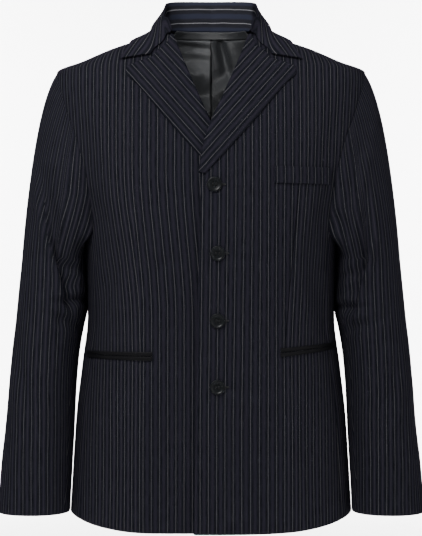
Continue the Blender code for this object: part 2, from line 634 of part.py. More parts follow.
def lining_grid(low, high, rows, columns, start_angle):
    """Half of a piece inside the back, one layer in, from an angle round to the middle seam."""
    points = []
    for z in levels(low, high, rows):
        outline = section(z)
        start = run_at_angle(outline, start_angle)
        end = run_at_angle(outline, math.pi) - SEAM / 2
        points.append(row_between(z, start, end, columns))
    grid = np.array(points)
    return grid - body_normals(grid) * LINING_IN


def crease_lining(grid):
    """Press the soft fold into the lining below the neck, right of the middle seam."""
    x, z = grid[..., 0], grid[..., 2]
    share = smoothstep(LINING_FOLD[1], LINING_FOLD[3], z)
    line = LINING_FOLD[0] + (LINING_FOLD[2] - LINING_FOLD[0]) * share
    depth = LINING_FOLD_DEPTH * np.exp(-((x - line) / LINING_FOLD_WIDTH) ** 2)
    depth *= smoothstep(LINING_FOLD[1] - 0.015, LINING_FOLD[1] + 0.01, z)
    grid = grid.copy()
    grid[..., 1] -= depth
    return grid


def strip_grid(inner, outer, height, off, columns, rows=1):
    """A band lying on the front: inner and outer lower corners (across, up), height and lift."""
    share = np.linspace(0.0, 1.0, columns + 1)
    x = inner[0] + (outer[0] - inner[0]) * share
    foot = inner[1] + (outer[1] - inner[1]) * share
    tall = np.broadcast_to(np.asarray(height, dtype=float), share.shape)
    return np.array([front_point(x, foot + tall * k / rows, off) for k in range(rows + 1)])


def button(name, x, z, material):
    """A turned button: flat back, raised rim and dished middle, facing out from the front."""
    seat = CLOTH / 2 + SEAM + BUTTON_ROOM
    base = front_point(x, z, seat)
    ahead = front_point(x, z, seat + 0.01) - base
    ahead /= np.linalg.norm(ahead)
    side = np.cross((0.0, 0.0, 1.0), ahead)
    side /= np.linalg.norm(side)
    up = np.cross(ahead, side)
    mesh = bmesh.new()
    turn = np.linspace(0.0, 2 * np.pi, BUTTON_SIDES, endpoint=False)
    rings = []
    for radius, rise in BUTTON_PROFILE:
        rings.append([mesh.verts.new(base + ahead * rise
                                     + radius * (side * math.cos(t) + up * math.sin(t)))
                      for t in turn])
    for low, high in zip(rings, rings[1:]):
        for k in range(BUTTON_SIDES):
            after = (k + 1) % BUTTON_SIDES
            mesh.faces.new((low[k], low[after], high[after], high[k]))
    mesh.faces.new(list(reversed(rings[0])))
    mesh.faces.new(rings[-1])
    bmesh.ops.recalc_face_normals(mesh, faces=mesh.faces)
    return place(name, mesh, material)


def finish(name, colour, roughness, metallic=0.0, sheen=0.0):
    """A plain material in the colour of one piece."""
    material = bpy.data.materials.new(name)
    material.use_nodes = True
    shader = material.node_tree.nodes["Principled BSDF"]
    shader.inputs["Base Color"].default_value = (*colour, 1.0)
    shader.inputs["Roughness"].default_value = roughness
    shader.inputs["Metallic"].default_value = metallic
    shader.inputs["Sheen Weight"].default_value = sheen
    return material


def wool(name):
    """The dark suiting of one piece."""
    return finish(f"suiting_{name}", (0.012, 0.013, 0.019), 0.85, sheen=0.2)


def satin(name, colour=(0.045, 0.046, 0.050)):
    """The smooth satin of the lining or the pocket jets."""
    return finish(f"satin_{name}", colour, 0.35)


def build_shell():
    """Fronts, side bodies and backs."""
    front, side, back = front_grid(), side_grid(), back_grid()
    normal = body_normals(front)
    wall("front_left", front, wool("front_left"), normal=normal)
    wall("front_right", tuck_under(front), wool("front_right"), mirrored=True, normal=normal)
    for name, mirrored in (("left", False), ("right", True)):
        wall(f"side_{name}", side, wool(f"side_{name}"), mirrored=mirrored,
             normal=body_normals(side))
        wall(f"back_{name}", back, wool(f"back_{name}"), mirrored=mirrored,
             normal=body_normals(back))


def build_sleeves():
    """A top sleeve and an under sleeve on each side."""
    for name, folds, mirrored in (("left", LEFT_FOLDS, False), ("right", RIGHT_FOLDS, True)):
        grid = sleeve_grid(folds)
        start, end = UNDER_SLEEVE
        gap = SEAM / SLEEVE_GIRTH
        top = sleeve_part(grid, end + gap, 1.0 + start - gap, TOP_COLUMNS)
        under = sleeve_part(grid, start + gap, end - gap, UNDER_COLUMNS)
        normal = sleeve_normals(grid)
        wall(f"sleeve_top_{name}", top, wool(f"sleeve_top_{name}"), mirrored=mirrored,
             normal=sleeve_part(normal, end + gap, 1.0 + start - gap, TOP_COLUMNS))
        wall(f"sleeve_under_{name}", under, wool(f"sleeve_under_{name}"), mirrored=mirrored,
             normal=sleeve_part(normal, start + gap, end - gap, UNDER_COLUMNS))


def build_collar_and_lapels():
    """The folded collar and the two turned-back lapels."""
    lapel = lapel_grid()
    wall("lapel_left", lapel, wool("lapel_left"))
    wall("lapel_right", tuck_under(lapel), wool("lapel_right"), mirrored=True)
    wall("collar", both_sides(collar_grid()), wool("collar"))


def build_lining():
    """The lining and the neck facing that show inside the back."""
    lining = lining_grid(LINING_LOW_Z, LINING_TOP_Z, 9, 7, LINING_ANGLE)
    normal = body_normals(lining)
    wall("lining_left", crease_lining(lining), satin("lining_left"), LINING, normal=normal)
    wall("lining_right", lining, satin("lining_right"), LINING, mirrored=True, normal=normal)
    half = lining_grid(LINING_TOP_Z + 2 * SEAM, FACING_TOP_Z, 1, 7, FACING_ANGLE)[:, ::-1]
    facing = both_sides(half)
    wall("neck_facing", facing, satin("neck_facing"), LINING, normal=body_normals(facing))


def build_pockets():
    """The breast welt and the two jets of each hip pocket."""
    jets = satin("jet", (0.006, 0.006, 0.007))
    wall("breast_welt", strip_grid(WELT_INNER, WELT_OUTER, WELT_HEIGHT, WELT_OFF, 6, 2),
         wool("breast_welt"), WELT_CLOTH)
    for name, mirrored, inner, outer, height in HIP_POCKETS:
        jet = (height - JET_SLOT) / 2
        for part, lift in (("lower", 0.0), ("upper", jet + JET_SLOT)):
            low = (inner[0], inner[1] + lift)
            far = (outer[0], outer[1] + lift * JET_TAPER)
            tall = np.linspace(jet, jet * JET_TAPER, JET_COLUMNS + 1)
            grid = strip_grid(low, far, tall, JET_OFF, JET_COLUMNS)
            if mirrored:
                grid = tuck_under(grid)
            wall(f"jet_{part}_{name}", grid, jets.copy(), JET_CLOTH, mirrored=mirrored)


def build_buttons():
    """The four buttons of the single-breasted front."""
    for k, (x, z) in enumerate(BUTTONS, start=1):
        button(f"button_{k}", x, z, finish(f"button_{k}", (0.010, 0.012, 0.014), 0.25))


def main():
    """Clear the scene and build every piece."""
    for item in list(bpy.data.objects):
        bpy.data.objects.remove(item, do_unlink=True)
    build_shell()
    build_sleeves()
    build_collar_and_lapels()
    build_lining()
    build_pockets()
    build_buttons()


if __name__ == "__main__":
    main()
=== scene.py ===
"""The looks of a pinstripe blazer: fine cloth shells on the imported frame, and their finishes.

Metres, +Z up, the front faces -Y, the wearer's left is at +X, and the origin is the middle of
the neck hole at the back neck seam.  Every cloth piece is a grid of points on a form (body,
sleeve, collar or lapel), moved by its folds and seams, and given a thin wall.  Its UV map
"cloth" holds metres on the flat cloth, across and along the grain, so stripes follow the cut.
"""
import logging
import math
from dataclasses import dataclass, field, replace
from enum import Enum
from typing import Sequence

import bpy
import numpy as np
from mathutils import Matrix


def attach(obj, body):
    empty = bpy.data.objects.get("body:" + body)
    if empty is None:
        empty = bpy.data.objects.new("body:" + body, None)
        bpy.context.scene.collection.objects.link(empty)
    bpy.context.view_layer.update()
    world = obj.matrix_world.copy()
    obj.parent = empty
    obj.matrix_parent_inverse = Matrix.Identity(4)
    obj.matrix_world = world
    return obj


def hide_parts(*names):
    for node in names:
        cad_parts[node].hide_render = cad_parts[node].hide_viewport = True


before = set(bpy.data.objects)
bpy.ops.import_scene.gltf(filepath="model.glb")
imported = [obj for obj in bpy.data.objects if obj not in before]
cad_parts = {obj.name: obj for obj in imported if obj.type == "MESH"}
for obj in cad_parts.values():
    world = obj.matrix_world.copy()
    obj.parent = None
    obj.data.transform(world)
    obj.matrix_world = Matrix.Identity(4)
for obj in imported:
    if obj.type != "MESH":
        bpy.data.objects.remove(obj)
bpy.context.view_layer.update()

LOG = logging.getLogger("blazer")
Array = np.ndarray

CLOTH = 0.0020           # wall of one cut piece
SEAM = 0.0003            # gap between layers
LAP = 0.0004             # how far a piece goes on past its seam, so that no light comes through
LAYER = CLOTH + SEAM     # from one cloth's middle to the next one lying on it
LEAST_FLAT = 0.0105
EDGE_WALL, EDGE_ROUND = 0.3, 0.7     # share of the wall left at a closed edge, and the rest
PUSHES = 4               # steps that clear points of the body
HEM_FRONT_Z, HEM_SIDE_Z, HEM_BACK_Z = -0.7135, -0.6950, -0.7020
ARMPIT_Z, SHOULDER_Z, NECK_POINT_Z, BREAK_Z = -0.2980, -0.0742, -0.0080, -0.2255
MIRROR = np.array((-1.0, 1.0, 1.0))

# Body form: height, half width, depth in front, depth behind
BODY_LEVELS = (
    (-0.7200, 0.2005, 0.1210, 0.1290), (-0.6950, 0.1990, 0.1200, 0.1280),
    (-0.6250, 0.1950, 0.1180, 0.1260), (-0.5580, 0.1905, 0.1165, 0.1230),
    (-0.4890, 0.1825, 0.1150, 0.1150), (-0.4210, 0.1748, 0.1160, 0.1080),
    (-0.3600, 0.1755, 0.1210, 0.1110), (-0.2980, 0.1800, 0.1255, 0.1200),
    (-0.2350, 0.1960, 0.1235, 0.1265), (-0.1800, 0.2110, 0.1150, 0.1285),
    (-0.1300, 0.2200, 0.1020, 0.1255), (-0.0980, 0.2230, 0.0900, 0.1190),
    (-0.0742, 0.2195, 0.0795, 0.1110), (-0.0600, 0.1848, 0.0735, 0.1060),
    (-0.0441, 0.1482, 0.0665, 0.1000), (-0.0380, 0.1315, 0.0635, 0.0975),
    (-0.0295, 0.1045, 0.0590, 0.0940), (-0.0185, 0.0845, 0.0530, 0.0895),
    (-0.0080, 0.0740, 0.0480, 0.0855), (0.0040, 0.0620, 0.0420, 0.0800),
)
# Front edge below the break: height, distance past the middle
FRONT_EDGE = (
    (-0.7200, 0.0235), (-0.6900, 0.0232), (-0.5500, 0.0200),
    (-0.4000, 0.0175), (-0.2600, 0.0145), (-0.2255, 0.0130),
)
# Roll line above it: height, distance from the middle
ROLL_LINE = (
    (-0.2255, -0.0130), (-0.2000, -0.0100), (-0.1630, -0.0005), (-0.1190, 0.0185),
    (-0.0860, 0.0325), (-0.0500, 0.0470), (-0.0200, 0.0580), (-0.0080, 0.0625),
)
# Armhole seam: height, distance from the middle on the front, and behind
ARMHOLE = (
    (-0.2980, 0.1642, 0.1550), (-0.2780, 0.1655, 0.1630), (-0.2500, 0.1690, 0.1720),
    (-0.2150, 0.1755, 0.1810), (-0.1750, 0.1862, 0.1900), (-0.1300, 0.2025, 0.2030),
    (-0.0950, 0.2135, 0.2130), (-0.0742, 0.2188, 0.2188),
)
SIDE_FRONT_ANGLE, SIDE_BACK_ANGLE = math.radians(64.0), math.radians(123.0)


class Side(Enum):
    """The wearer's side that a piece is on, with the sign of its x."""

    LEFT = 1.0
    RIGHT = -1.0

    @property
    def word(self) -> str:
        """The side's name, as it stands in node names."""
        return self.name.lower()


class Held(Enum):
    """How a sheet of cloth is held, in the frame's words."""

    DRAPED = "draped"
    FOLDED = "folded"


def smoothstep(low: float, high: float, value: Array | float) -> Array:
    """0 below low, 1 above high, with the soft step 3s^2 - 2s^3 between."""
    s = np.clip((np.asarray(value, dtype=float) - low) / (high - low), 0.0, 1.0)
    return s * s * (3.0 - 2.0 * s)


def along(table: Sequence[Sequence[float]], at: Array | float, column: int = 1) -> Array:
    """Read one column of a table as a smooth curve over its rising first column.

    A cubic Hermite curve whose slopes are the harmonic means of the steps beside each row,
    and flat where the values turn, so that it never overshoots.

    Args:
        table: Rows of numbers, the first column rising.
        at: Where to read it; held at the table's ends.
        column: The column to read.

    Returns:
        The values, in the shape of at.
    """
    rows = np.asarray(table, dtype=float)
    xs, ys = rows[:, 0], rows[:, column]
    slopes = np.diff(ys) / np.diff(xs)
    mean = 2.0 * slopes[1:] * slopes[:-1] / (slopes[1:] + slopes[:-1] + 1e-12)
    inner = np.where(slopes[1:] * slopes[:-1] > 0.0, mean, 0.0)
    knots = np.concatenate(([slopes[0]], inner, [slopes[-1]]))
    at = np.clip(np.asarray(at, dtype=float), xs[0], xs[-1])
    k = np.clip(np.searchsorted(xs, at, side="right") - 1, 0, len(xs) - 2)
    width = xs[k + 1] - xs[k]
    s = (at - xs[k]) / width
    return ((2 * s**3 - 3 * s**2 + 1) * ys[k] + (s**3 - 2 * s**2 + s) * width * knots[k]
            + (3 * s**2 - 2 * s**3) * ys[k + 1] + (s**3 - s**2) * width * knots[k + 1])


def curve(table: Sequence[Sequence[float]], at: Array | float) -> Array:
    """Every column of a table after its first, read as a smooth curve, on a new last axis."""
    return np.stack([along(table, at, c) for c in range(1, len(table[0]))], axis=-1)


def read_rows(wanted: Array, known: Array, values: Array) -> Array:
    """Interpolate every row of values at its own wanted places.

    The rows are set end to end by adding a whole step to each, so one call reads them all.

    Args:
        wanted: Places, one row of them for each row of known.
        known: Rising places where the values are known, none further apart than 5.
        values: The values there.

    Returns:
        The values at the wanted places.
    """
    step = 10.0 * np.arange(len(known))[:, None]
    inside = np.clip(wanted, known[:, :1], known[:, -1:])
    flat = np.interp((inside + step).ravel(), (known + step).ravel(), values.ravel())
    return flat.reshape(wanted.shape)


def spread(count: int, soft_edge: float = 0.0) -> Array:
    """Shares from 0 to 1: an even run of panes, and three narrow ones at each edge.

    Args:
        count: The number of even panes.
        soft_edge: The share of the way that the narrow panes take; 0 leaves them out.

    Returns:
        The shares, rising.
    """
    if soft_edge <= 0.0:
        return np.linspace(0.0, 1.0, count + 1)
    narrow = soft_edge * np.array((0.0, 0.2, 0.5))
    return np.concatenate((narrow, np.linspace(soft_edge, 1.0 - soft_edge, count + 1),
                           1.0 - narrow[::-1]))


def closing(share: Array) -> Array:
    """How full a wall is near its edge: a quarter round from the edge, share 0, to full at 1."""
    return EDGE_WALL + EDGE_ROUND * np.sqrt(1.0 - (1.0 - share) ** 2)


def squared_off(value: Array, power: float) -> Array:
    """sign(v) |v|^power, which turns a sine or cosine into a superellipse's."""
    return np.sign(value) * np.abs(value) ** power


def row_runs(grid: Array) -> Array:
    """Length along each row of a grid, from nothing at its first column."""
    over = np.linalg.norm(np.diff(grid, axis=1), axis=2)
    return np.concatenate((np.zeros((len(over), 1)), np.cumsum(over, axis=1)), axis=1)


def edge_share(shares: Array, soft_edge: float) -> Array:
    """How full the wall is at each share across a piece, closing at both its edges."""
    if soft_edge <= 0.0:
        return np.ones_like(shares)
    near = np.clip(np.minimum(shares, 1.0 - shares) / soft_edge, 0.0, 1.0)
    return closing(near)


def grid_normals(grid: Array) -> Array:
    """Unit normals of a grid: the cross product of its steps along columns and along rows."""
    normal = np.cross(np.gradient(grid, axis=1), np.gradient(grid, axis=0))
    return normal / np.maximum(np.linalg.norm(normal, axis=2, keepdims=True), 1e-12)


@dataclass
class Outline:
    """Level outlines of the body, a row for each height, from past the middle front to behind."""

    z: Array
    angle: Array
    x: Array
    y: Array
    run: Array

    def at(self, wanted: Array) -> Array:
        """Points (rows, columns, 3) at the given lengths of cloth round each outline."""
        z = np.broadcast_to(self.z[:, None], wanted.shape)
        return np.stack((read_rows(wanted, self.run, self.x),
                         read_rows(wanted, self.run, self.y), z), axis=-1)

    def run_at_angle(self, angle: float) -> Array:
        """Length of cloth up to one angle, on every row."""
        k = np.searchsorted(self.angle, angle)
        share = (angle - self.angle[k - 1]) / (self.angle[k] - self.angle[k - 1])
        return self.run[:, k - 1] * (1.0 - share) + self.run[:, k] * share

    def run_at_x(self, x: Array, behind: bool = False) -> Array:
        """Length of cloth up to a distance from the middle, in front or behind, on every row."""
        half = int(np.searchsorted(self.angle, math.pi / 2))
        if behind:
            return read_rows(-x[:, None], -self.x[:, half:], self.run[:, half:])[:, 0]
        return read_rows(x[:, None], self.x[:, :half + 1], self.run[:, :half + 1])[:, 0]


@dataclass(frozen=True)
class BodyForm:
    """The general figure that the coat is filled out on: level superellipses of smooth sizes."""

    levels: tuple = BODY_LEVELS
    rounding: float = 2.35
    start_angle: float = math.radians(-25.0)
    fine: int = 822

    def outline(self, z: Array) -> Outline:
        """The form's outlines at some heights.

        x = w sign(sin a) |sin a|^(2/n) and y = -d sign(cos a) |cos a|^(2/n), with the half
        width w, the depth d in front or behind, and the rounding n.

        Args:
            z: Heights, one for each row.

        Returns:
            The outlines, with the running length of cloth along each.
        """
        w, f, b = (along(self.levels, z, c)[:, None] for c in (1, 2, 3))
        angle = np.linspace(self.start_angle, math.pi, self.fine)
        sine, cosine = np.sin(angle), np.cos(angle)
        power = 2.0 / self.rounding
        x = w * squared_off(sine, power)
        y = -np.where(cosine > 0.0, f, b) * squared_off(cosine, power)
        steps = np.hypot(np.diff(x, axis=1), np.diff(y, axis=1))
        run = np.concatenate((np.zeros((len(z), 1)), np.cumsum(steps, axis=1)), axis=1)
        return Outline(np.asarray(z, dtype=float), angle, x, y, run)

    def value(self, points: Array) -> Array:
        """|x/w|^n + |y/d|^n - 1: nothing on the form, more outside it."""
        w = along(self.levels, points[..., 2], 1)
        d = np.where(points[..., 1] < 0.0, along(self.levels, points[..., 2], 2),
                     along(self.levels, points[..., 2], 3))
        n = self.rounding
        return (np.abs(points[..., 0]) / w) ** n + (np.abs(points[..., 1]) / d) ** n - 1.0

    def slope(self, points: Array, step: float = 0.0004) -> Array:
        """How steeply value rises along x, y and z, by central differences."""
        return np.stack([(self.value(points + step * axis) - self.value(points - step * axis))
                         / (2 * step) for axis in np.eye(3)], axis=-1)

    def normals(self, points: Array) -> Array:
        """Outward unit normals, along the slope of value."""
        slope = self.slope(points)
        return slope / np.maximum(np.linalg.norm(slope, axis=-1, keepdims=True), 1e-9)

    def clear(self, points: Array, off: float | Array) -> Array:
        """Push points out along the slope until they lie off, one or each its own, outside."""
        points = points.copy()
        for _ in range(PUSHES):
            slope = self.slope(points)
            steep = np.maximum(np.linalg.norm(slope, axis=-1), 1e-6)
            short = np.maximum(off - self.value(points) / steep, 0.0)
            points += slope / steep[..., None] * short[..., None]
        return points

    def front(self, x: Array, z: Array, out: Array | float = 0.0) -> Array:
        """Points of the front of the form at places across and up, moved out along the normal."""
        x, z = np.broadcast_arrays(np.asarray(x, dtype=float), np.asarray(z, dtype=float))
        ratio = np.clip(np.abs(x) / along(self.levels, z, 1), 0.0, 0.9995)
        y = -along(self.levels, z, 2) * (1.0 - ratio**self.rounding) ** (1.0 / self.rounding)
        points = np.stack((x, y, z), axis=-1)
        return points + self.normals(points) * np.broadcast_to(out, x.shape)[..., None]


BODY = BodyForm()


@dataclass
class Cloth:
    """A piece of cloth before it is a mesh: its grid, its normals and its flat places."""

    grid: Array
    normal: Array
    flat: Array
    thickness: float = CLOTH
    rows_full: Array | None = None
    columns_full: Array | None = None
    dart: Array | None = None

    def pressed(self, depth: Array) -> "Cloth":
        """The same cloth, pressed in by a depth at every point."""
        return replace(self, grid=self.grid - self.normal * depth[..., None])

    def moved(self, shift: Array) -> "Cloth":
        """The same cloth with its stripes moved across by a shift at each point."""
        return replace(self, flat=self.flat + np.stack((shift, np.zeros_like(shift)), axis=-1))

    def mirrored(self) -> "Cloth":
        """The same cloth on the other side of the middle."""
        dart = None if self.dart is None else self.dart * (1.0, -1.0)
        return replace(self, grid=self.grid * MIRROR, normal=self.normal * MIRROR,
                       flat=self.flat * (-1.0, 1.0), dart=dart)

    def size(self) -> tuple[float, float, float]:
        """The cut's width, length and area, measured along the grid."""
        over = np.linalg.norm(np.diff(self.grid, axis=1), axis=2)
        down = np.linalg.norm(np.diff(self.grid, axis=0), axis=2)
        cross = np.cross(np.diff(self.grid, axis=1)[:-1], np.diff(self.grid, axis=0)[:, :-1])
        area = float(np.linalg.norm(cross, axis=2).sum())
        return float(over.sum(axis=1).max()), float(down.sum(axis=0).max()), area


def quads(index: Array) -> Array:
    """The four corners of every pane of a grid of vertex numbers."""
    return np.stack((index[:-1, :-1], index[:-1, 1:], index[1:, 1:], index[1:, :-1]),
                    axis=-1).reshape(-1, 4)


def put_mesh(name: str, points: Array, faces: Array,
             layers: dict[str, Array] | None = None) -> bpy.types.Object:
    """Make an object of quads in the scene.

    Args:
        name: The piece's name.
        points: Corner points, (n, 3), in metres.
        faces: Corner numbers, (m, 4), each face turning anticlockwise seen from outside.
        layers: Names of UV maps, with a place for each point, (n, 2).

    Returns:
        The object, smooth shaded, at the origin.
    """
    mesh = bpy.data.meshes.new(name)
    mesh.vertices.add(len(points))
    mesh.vertices.foreach_set("co", np.asarray(points, dtype=np.float32).ravel())
    mesh.loops.add(4 * len(faces))
    mesh.loops.foreach_set("vertex_index", faces.astype(np.int32).ravel())
    mesh.polygons.add(len(faces))
    mesh.polygons.foreach_set("loop_start", np.arange(0, 4 * len(faces), 4, dtype=np.int32))
    mesh.update(calc_edges=True)
    for label, places in (layers or {}).items():
        layer = mesh.uv_layers.new(name=label)
        layer.uv.foreach_set("vector", places[faces.ravel()].astype(np.float32).ravel())
    mesh.validate()
    mesh.shade_smooth()
    item = bpy.data.objects.new(name, mesh)
    bpy.context.scene.collection.objects.link(item)
    return item


def shell(name: str, cloth: Cloth) -> bpy.types.Object:
    """Give a cloth its wall: outer points, inner points, and a rim that closes the two.

    A point is the grid's, moved half the thickness along the normal, times how full the wall
    is there, so that edges close to a soft round.

    Args:
        name: The piece's name.
        cloth: The cloth.

    Returns:
        The closed shell.
    """
    rows, columns = cloth.grid.shape[:2]
    full = np.ones((rows, columns))
    if cloth.rows_full is not None:
        full = np.minimum(full, cloth.rows_full[:, None])
    if cloth.columns_full is not None:
        full = np.minimum(full, cloth.columns_full[None, :])
    half = cloth.normal * (cloth.thickness / 2 * full)[..., None]
    points = np.concatenate(((cloth.grid + half).reshape(-1, 3), (cloth.grid - half).reshape(-1, 3)))
    layers = {"cloth": np.tile(cloth.flat.reshape(-1, 2), (2, 1))}
    if cloth.dart is not None:
        layers["dart"] = np.tile(cloth.dart.reshape(-1, 2), (2, 1))
    index = np.arange(rows * columns).reshape(rows, columns)
    outer = quads(index)
    inner = outer[:, ::-1] + rows * columns
    rim = np.concatenate((index[0, :-1], index[:-1, -1], index[-1, :0:-1], index[:0:-1, 0]))
    after = np.roll(rim, -1)
    sides = np.stack((after, rim, rim + rows * columns, after + rows * columns), axis=1)
    faces = np.concatenate((outer, inner, sides))
    facing = np.cross(cloth.grid[rows // 2, columns // 2 + 1] - cloth.grid[rows // 2, columns // 2],
                      cloth.grid[rows // 2 + 1, columns // 2] - cloth.grid[rows // 2, columns // 2])
    if float(facing @ cloth.normal[rows // 2, columns // 2]) < 0.0:
        faces = faces[:, ::-1]
    return put_mesh(name, points, faces, layers)


@dataclass(frozen=True)
class Trough:
    """A soft trough pressed into cloth, or with a negative depth a ridge.

    It runs straight between two places on the flat cloth (across, up), and fades at its ends.
    """

    start: tuple[float, float]
    end: tuple[float, float]
    depth: float
    half_width: float
    fade: float = 0.025
    swell: float = 0.35
    stretch: float = 1.0

    def press(self, across: Array, up: Array) -> Array:
        """Depth at each place: d f (e^-(c/w)^2 - swell e^-((|c| - 1.9 w)/w)^2).

        c is the distance from the line, w the half width, more by stretch on its right hand,
        and f a fade along the line, a sine that starts and ends low and falls off as
        e^-(b/fade)^2 beyond the ends by b.

        Args:
            across: Places across the cloth.
            up: Places up the cloth.

        Returns:
            How far the cloth goes in.
        """
        line = np.array(self.end) - np.array(self.start)
        length = float(np.hypot(*line))
        dx, dz = across - self.start[0], up - self.start[1]
        on = (dx * line[0] + dz * line[1]) / length
        off = (dx * line[1] - dz * line[0]) / length
        beyond = np.maximum(np.abs(on - length / 2) - length / 2, 0.0)
        fade = np.sin(np.pi * (0.15 + 0.7 * np.clip(on / length, 0.0, 1.0)))
        fade = fade * np.exp(-(beyond / self.fade) ** 2)
        width = self.half_width * np.where(off > 0.0, self.stretch, 1.0)
        ridge = np.exp(-(off / width) ** 2)
        swell = np.exp(-((np.abs(off) - 1.9 * width) / width) ** 2)
        return self.depth * fade * (ridge - self.swell * swell)


def press_all(troughs: Sequence[Trough], across: Array, up: Array) -> Array:
    """The depths of all the troughs together."""
    return sum((trough.press(across, up) for trough in troughs), np.zeros(across.shape))


def troughs(*rows: Sequence[float]) -> tuple[Trough, ...]:
    """Troughs from rows: start across and up, end across and up, depth, half width and so on."""
    return tuple(Trough(tuple(row[:2]), tuple(row[2:4]), *row[4:]) for row in rows)


# Troughs in the outer (left) front, on (distance from the middle, height): the dart, pulls
# from the buttons, the drape under the arm, and the soft waves of the skirt
LEFT_FRONT_TROUGHS = troughs(
    (0.1180, -0.2500, 0.1003, -0.4620, 0.0013, 0.0032, 0.012, 0.15),
    (0.0200, -0.2415, 0.0620, -0.2560, 0.0016, 0.0060, 0.012),
    (0.0190, -0.2350, 0.0520, -0.2230, 0.0013, 0.0055, 0.012),
    (0.0230, -0.3340, 0.0700, -0.3480, 0.0014, 0.0070, 0.014),
    (0.0240, -0.3290, 0.0640, -0.3160, 0.0011, 0.0065, 0.014),
    (0.0240, -0.4250, 0.0660, -0.4360, 0.0011, 0.0070, 0.014),
    (0.0240, -0.5150, 0.0560, -0.5260, 0.0009, 0.0070, 0.014),
    (0.1350, -0.3300, 0.1560, -0.4250, 0.0018, 0.0110),
    (0.1620, -0.2450, 0.1480, -0.3000, 0.0016, 0.0090),
    (0.1800, -0.1300, 0.1560, -0.2050, 0.0020, 0.0130),
    (0.0700, -0.5600, 0.0760, -0.7000, 0.0020, 0.0200),
    (0.1350, -0.5400, 0.1450, -0.7000, 0.0022, 0.0220),
    (0.0300, -0.5900, 0.0290, -0.7050, 0.0012, 0.0140),
)
# The same for the right front, mirrored
RIGHT_FRONT_TROUGHS = troughs(
    (0.1050, -0.2750, 0.0932, -0.4680, 0.0012, 0.0032, 0.015, 0.15),
    (0.0340, -0.2600, 0.0700, -0.2480, 0.0014, 0.0080, 0.014),
    (0.0350, -0.3360, 0.0800, -0.3550, 0.0015, 0.0090, 0.014),
    (0.0350, -0.4300, 0.0740, -0.4400, 0.0010, 0.0080, 0.014),
    (0.1250, -0.3350, 0.1540, -0.4150, 0.0018, 0.0120),
    (0.1640, -0.2400, 0.1490, -0.3050, 0.0018, 0.0100),
    (0.1830, -0.1350, 0.1600, -0.2150, 0.0022, 0.0130),
    (0.0600, -0.5500, 0.0660, -0.7050, 0.0020, 0.0190),
    (0.1300, -0.5500, 0.1380, -0.7050, 0.0024, 0.0230),
)


@dataclass(frozen=True)
class Dart:
    """A dart sewn from the chest to the hip pocket; beyond it the stripes lean."""

    top: tuple[float, float]
    foot: tuple[float, float]
    lean: float

    def places(self, x: Array, z: Array) -> Array:
        """How far past the dart each point is, and how far its stripes are moved there.

        The stripes beyond the dart go over by lean times the drop below its top, down to its
        foot; below that the dart is closed and the move stays as it is.

        Args:
            x: Distances from the middle.
            z: Heights.

        Returns:
            Both, in metres, on a new last axis.
        """
        share = np.clip((self.top[1] - z) / (self.top[1] - self.foot[1]), 0.0, 1.0)
        line = self.top[0] + (self.foot[0] - self.top[0]) * share
        moved = self.lean * share * (self.top[1] - self.foot[1])
        return np.stack((x - line, moved), axis=-1)


LEFT_DART = Dart((0.1190, -0.2390), (0.1000, -0.4650), 0.0496)
RIGHT_DART = Dart((0.1060, -0.2600), (0.0930, -0.4700), 0.030)

# Troughs in the backs, on (distance from the middle, height)
BACK_TROUGHS = troughs(
    (0.0200, -0.4000, 0.1100, -0.4250, 0.0022, 0.0110),
    (0.0150, -0.4350, 0.1000, -0.4450, 0.0018, 0.0100),
    (0.1350, -0.2200, 0.1150, -0.3300, 0.0026, 0.0140),
    (0.0500, -0.5200, 0.0560, -0.7000, 0.0024, 0.0200),
    (0.1150, -0.5500, 0.1250, -0.7000, 0.0022, 0.0200),
    (0.0300, -0.0700, 0.0700, -0.1050, 0.0014, 0.0110),
)


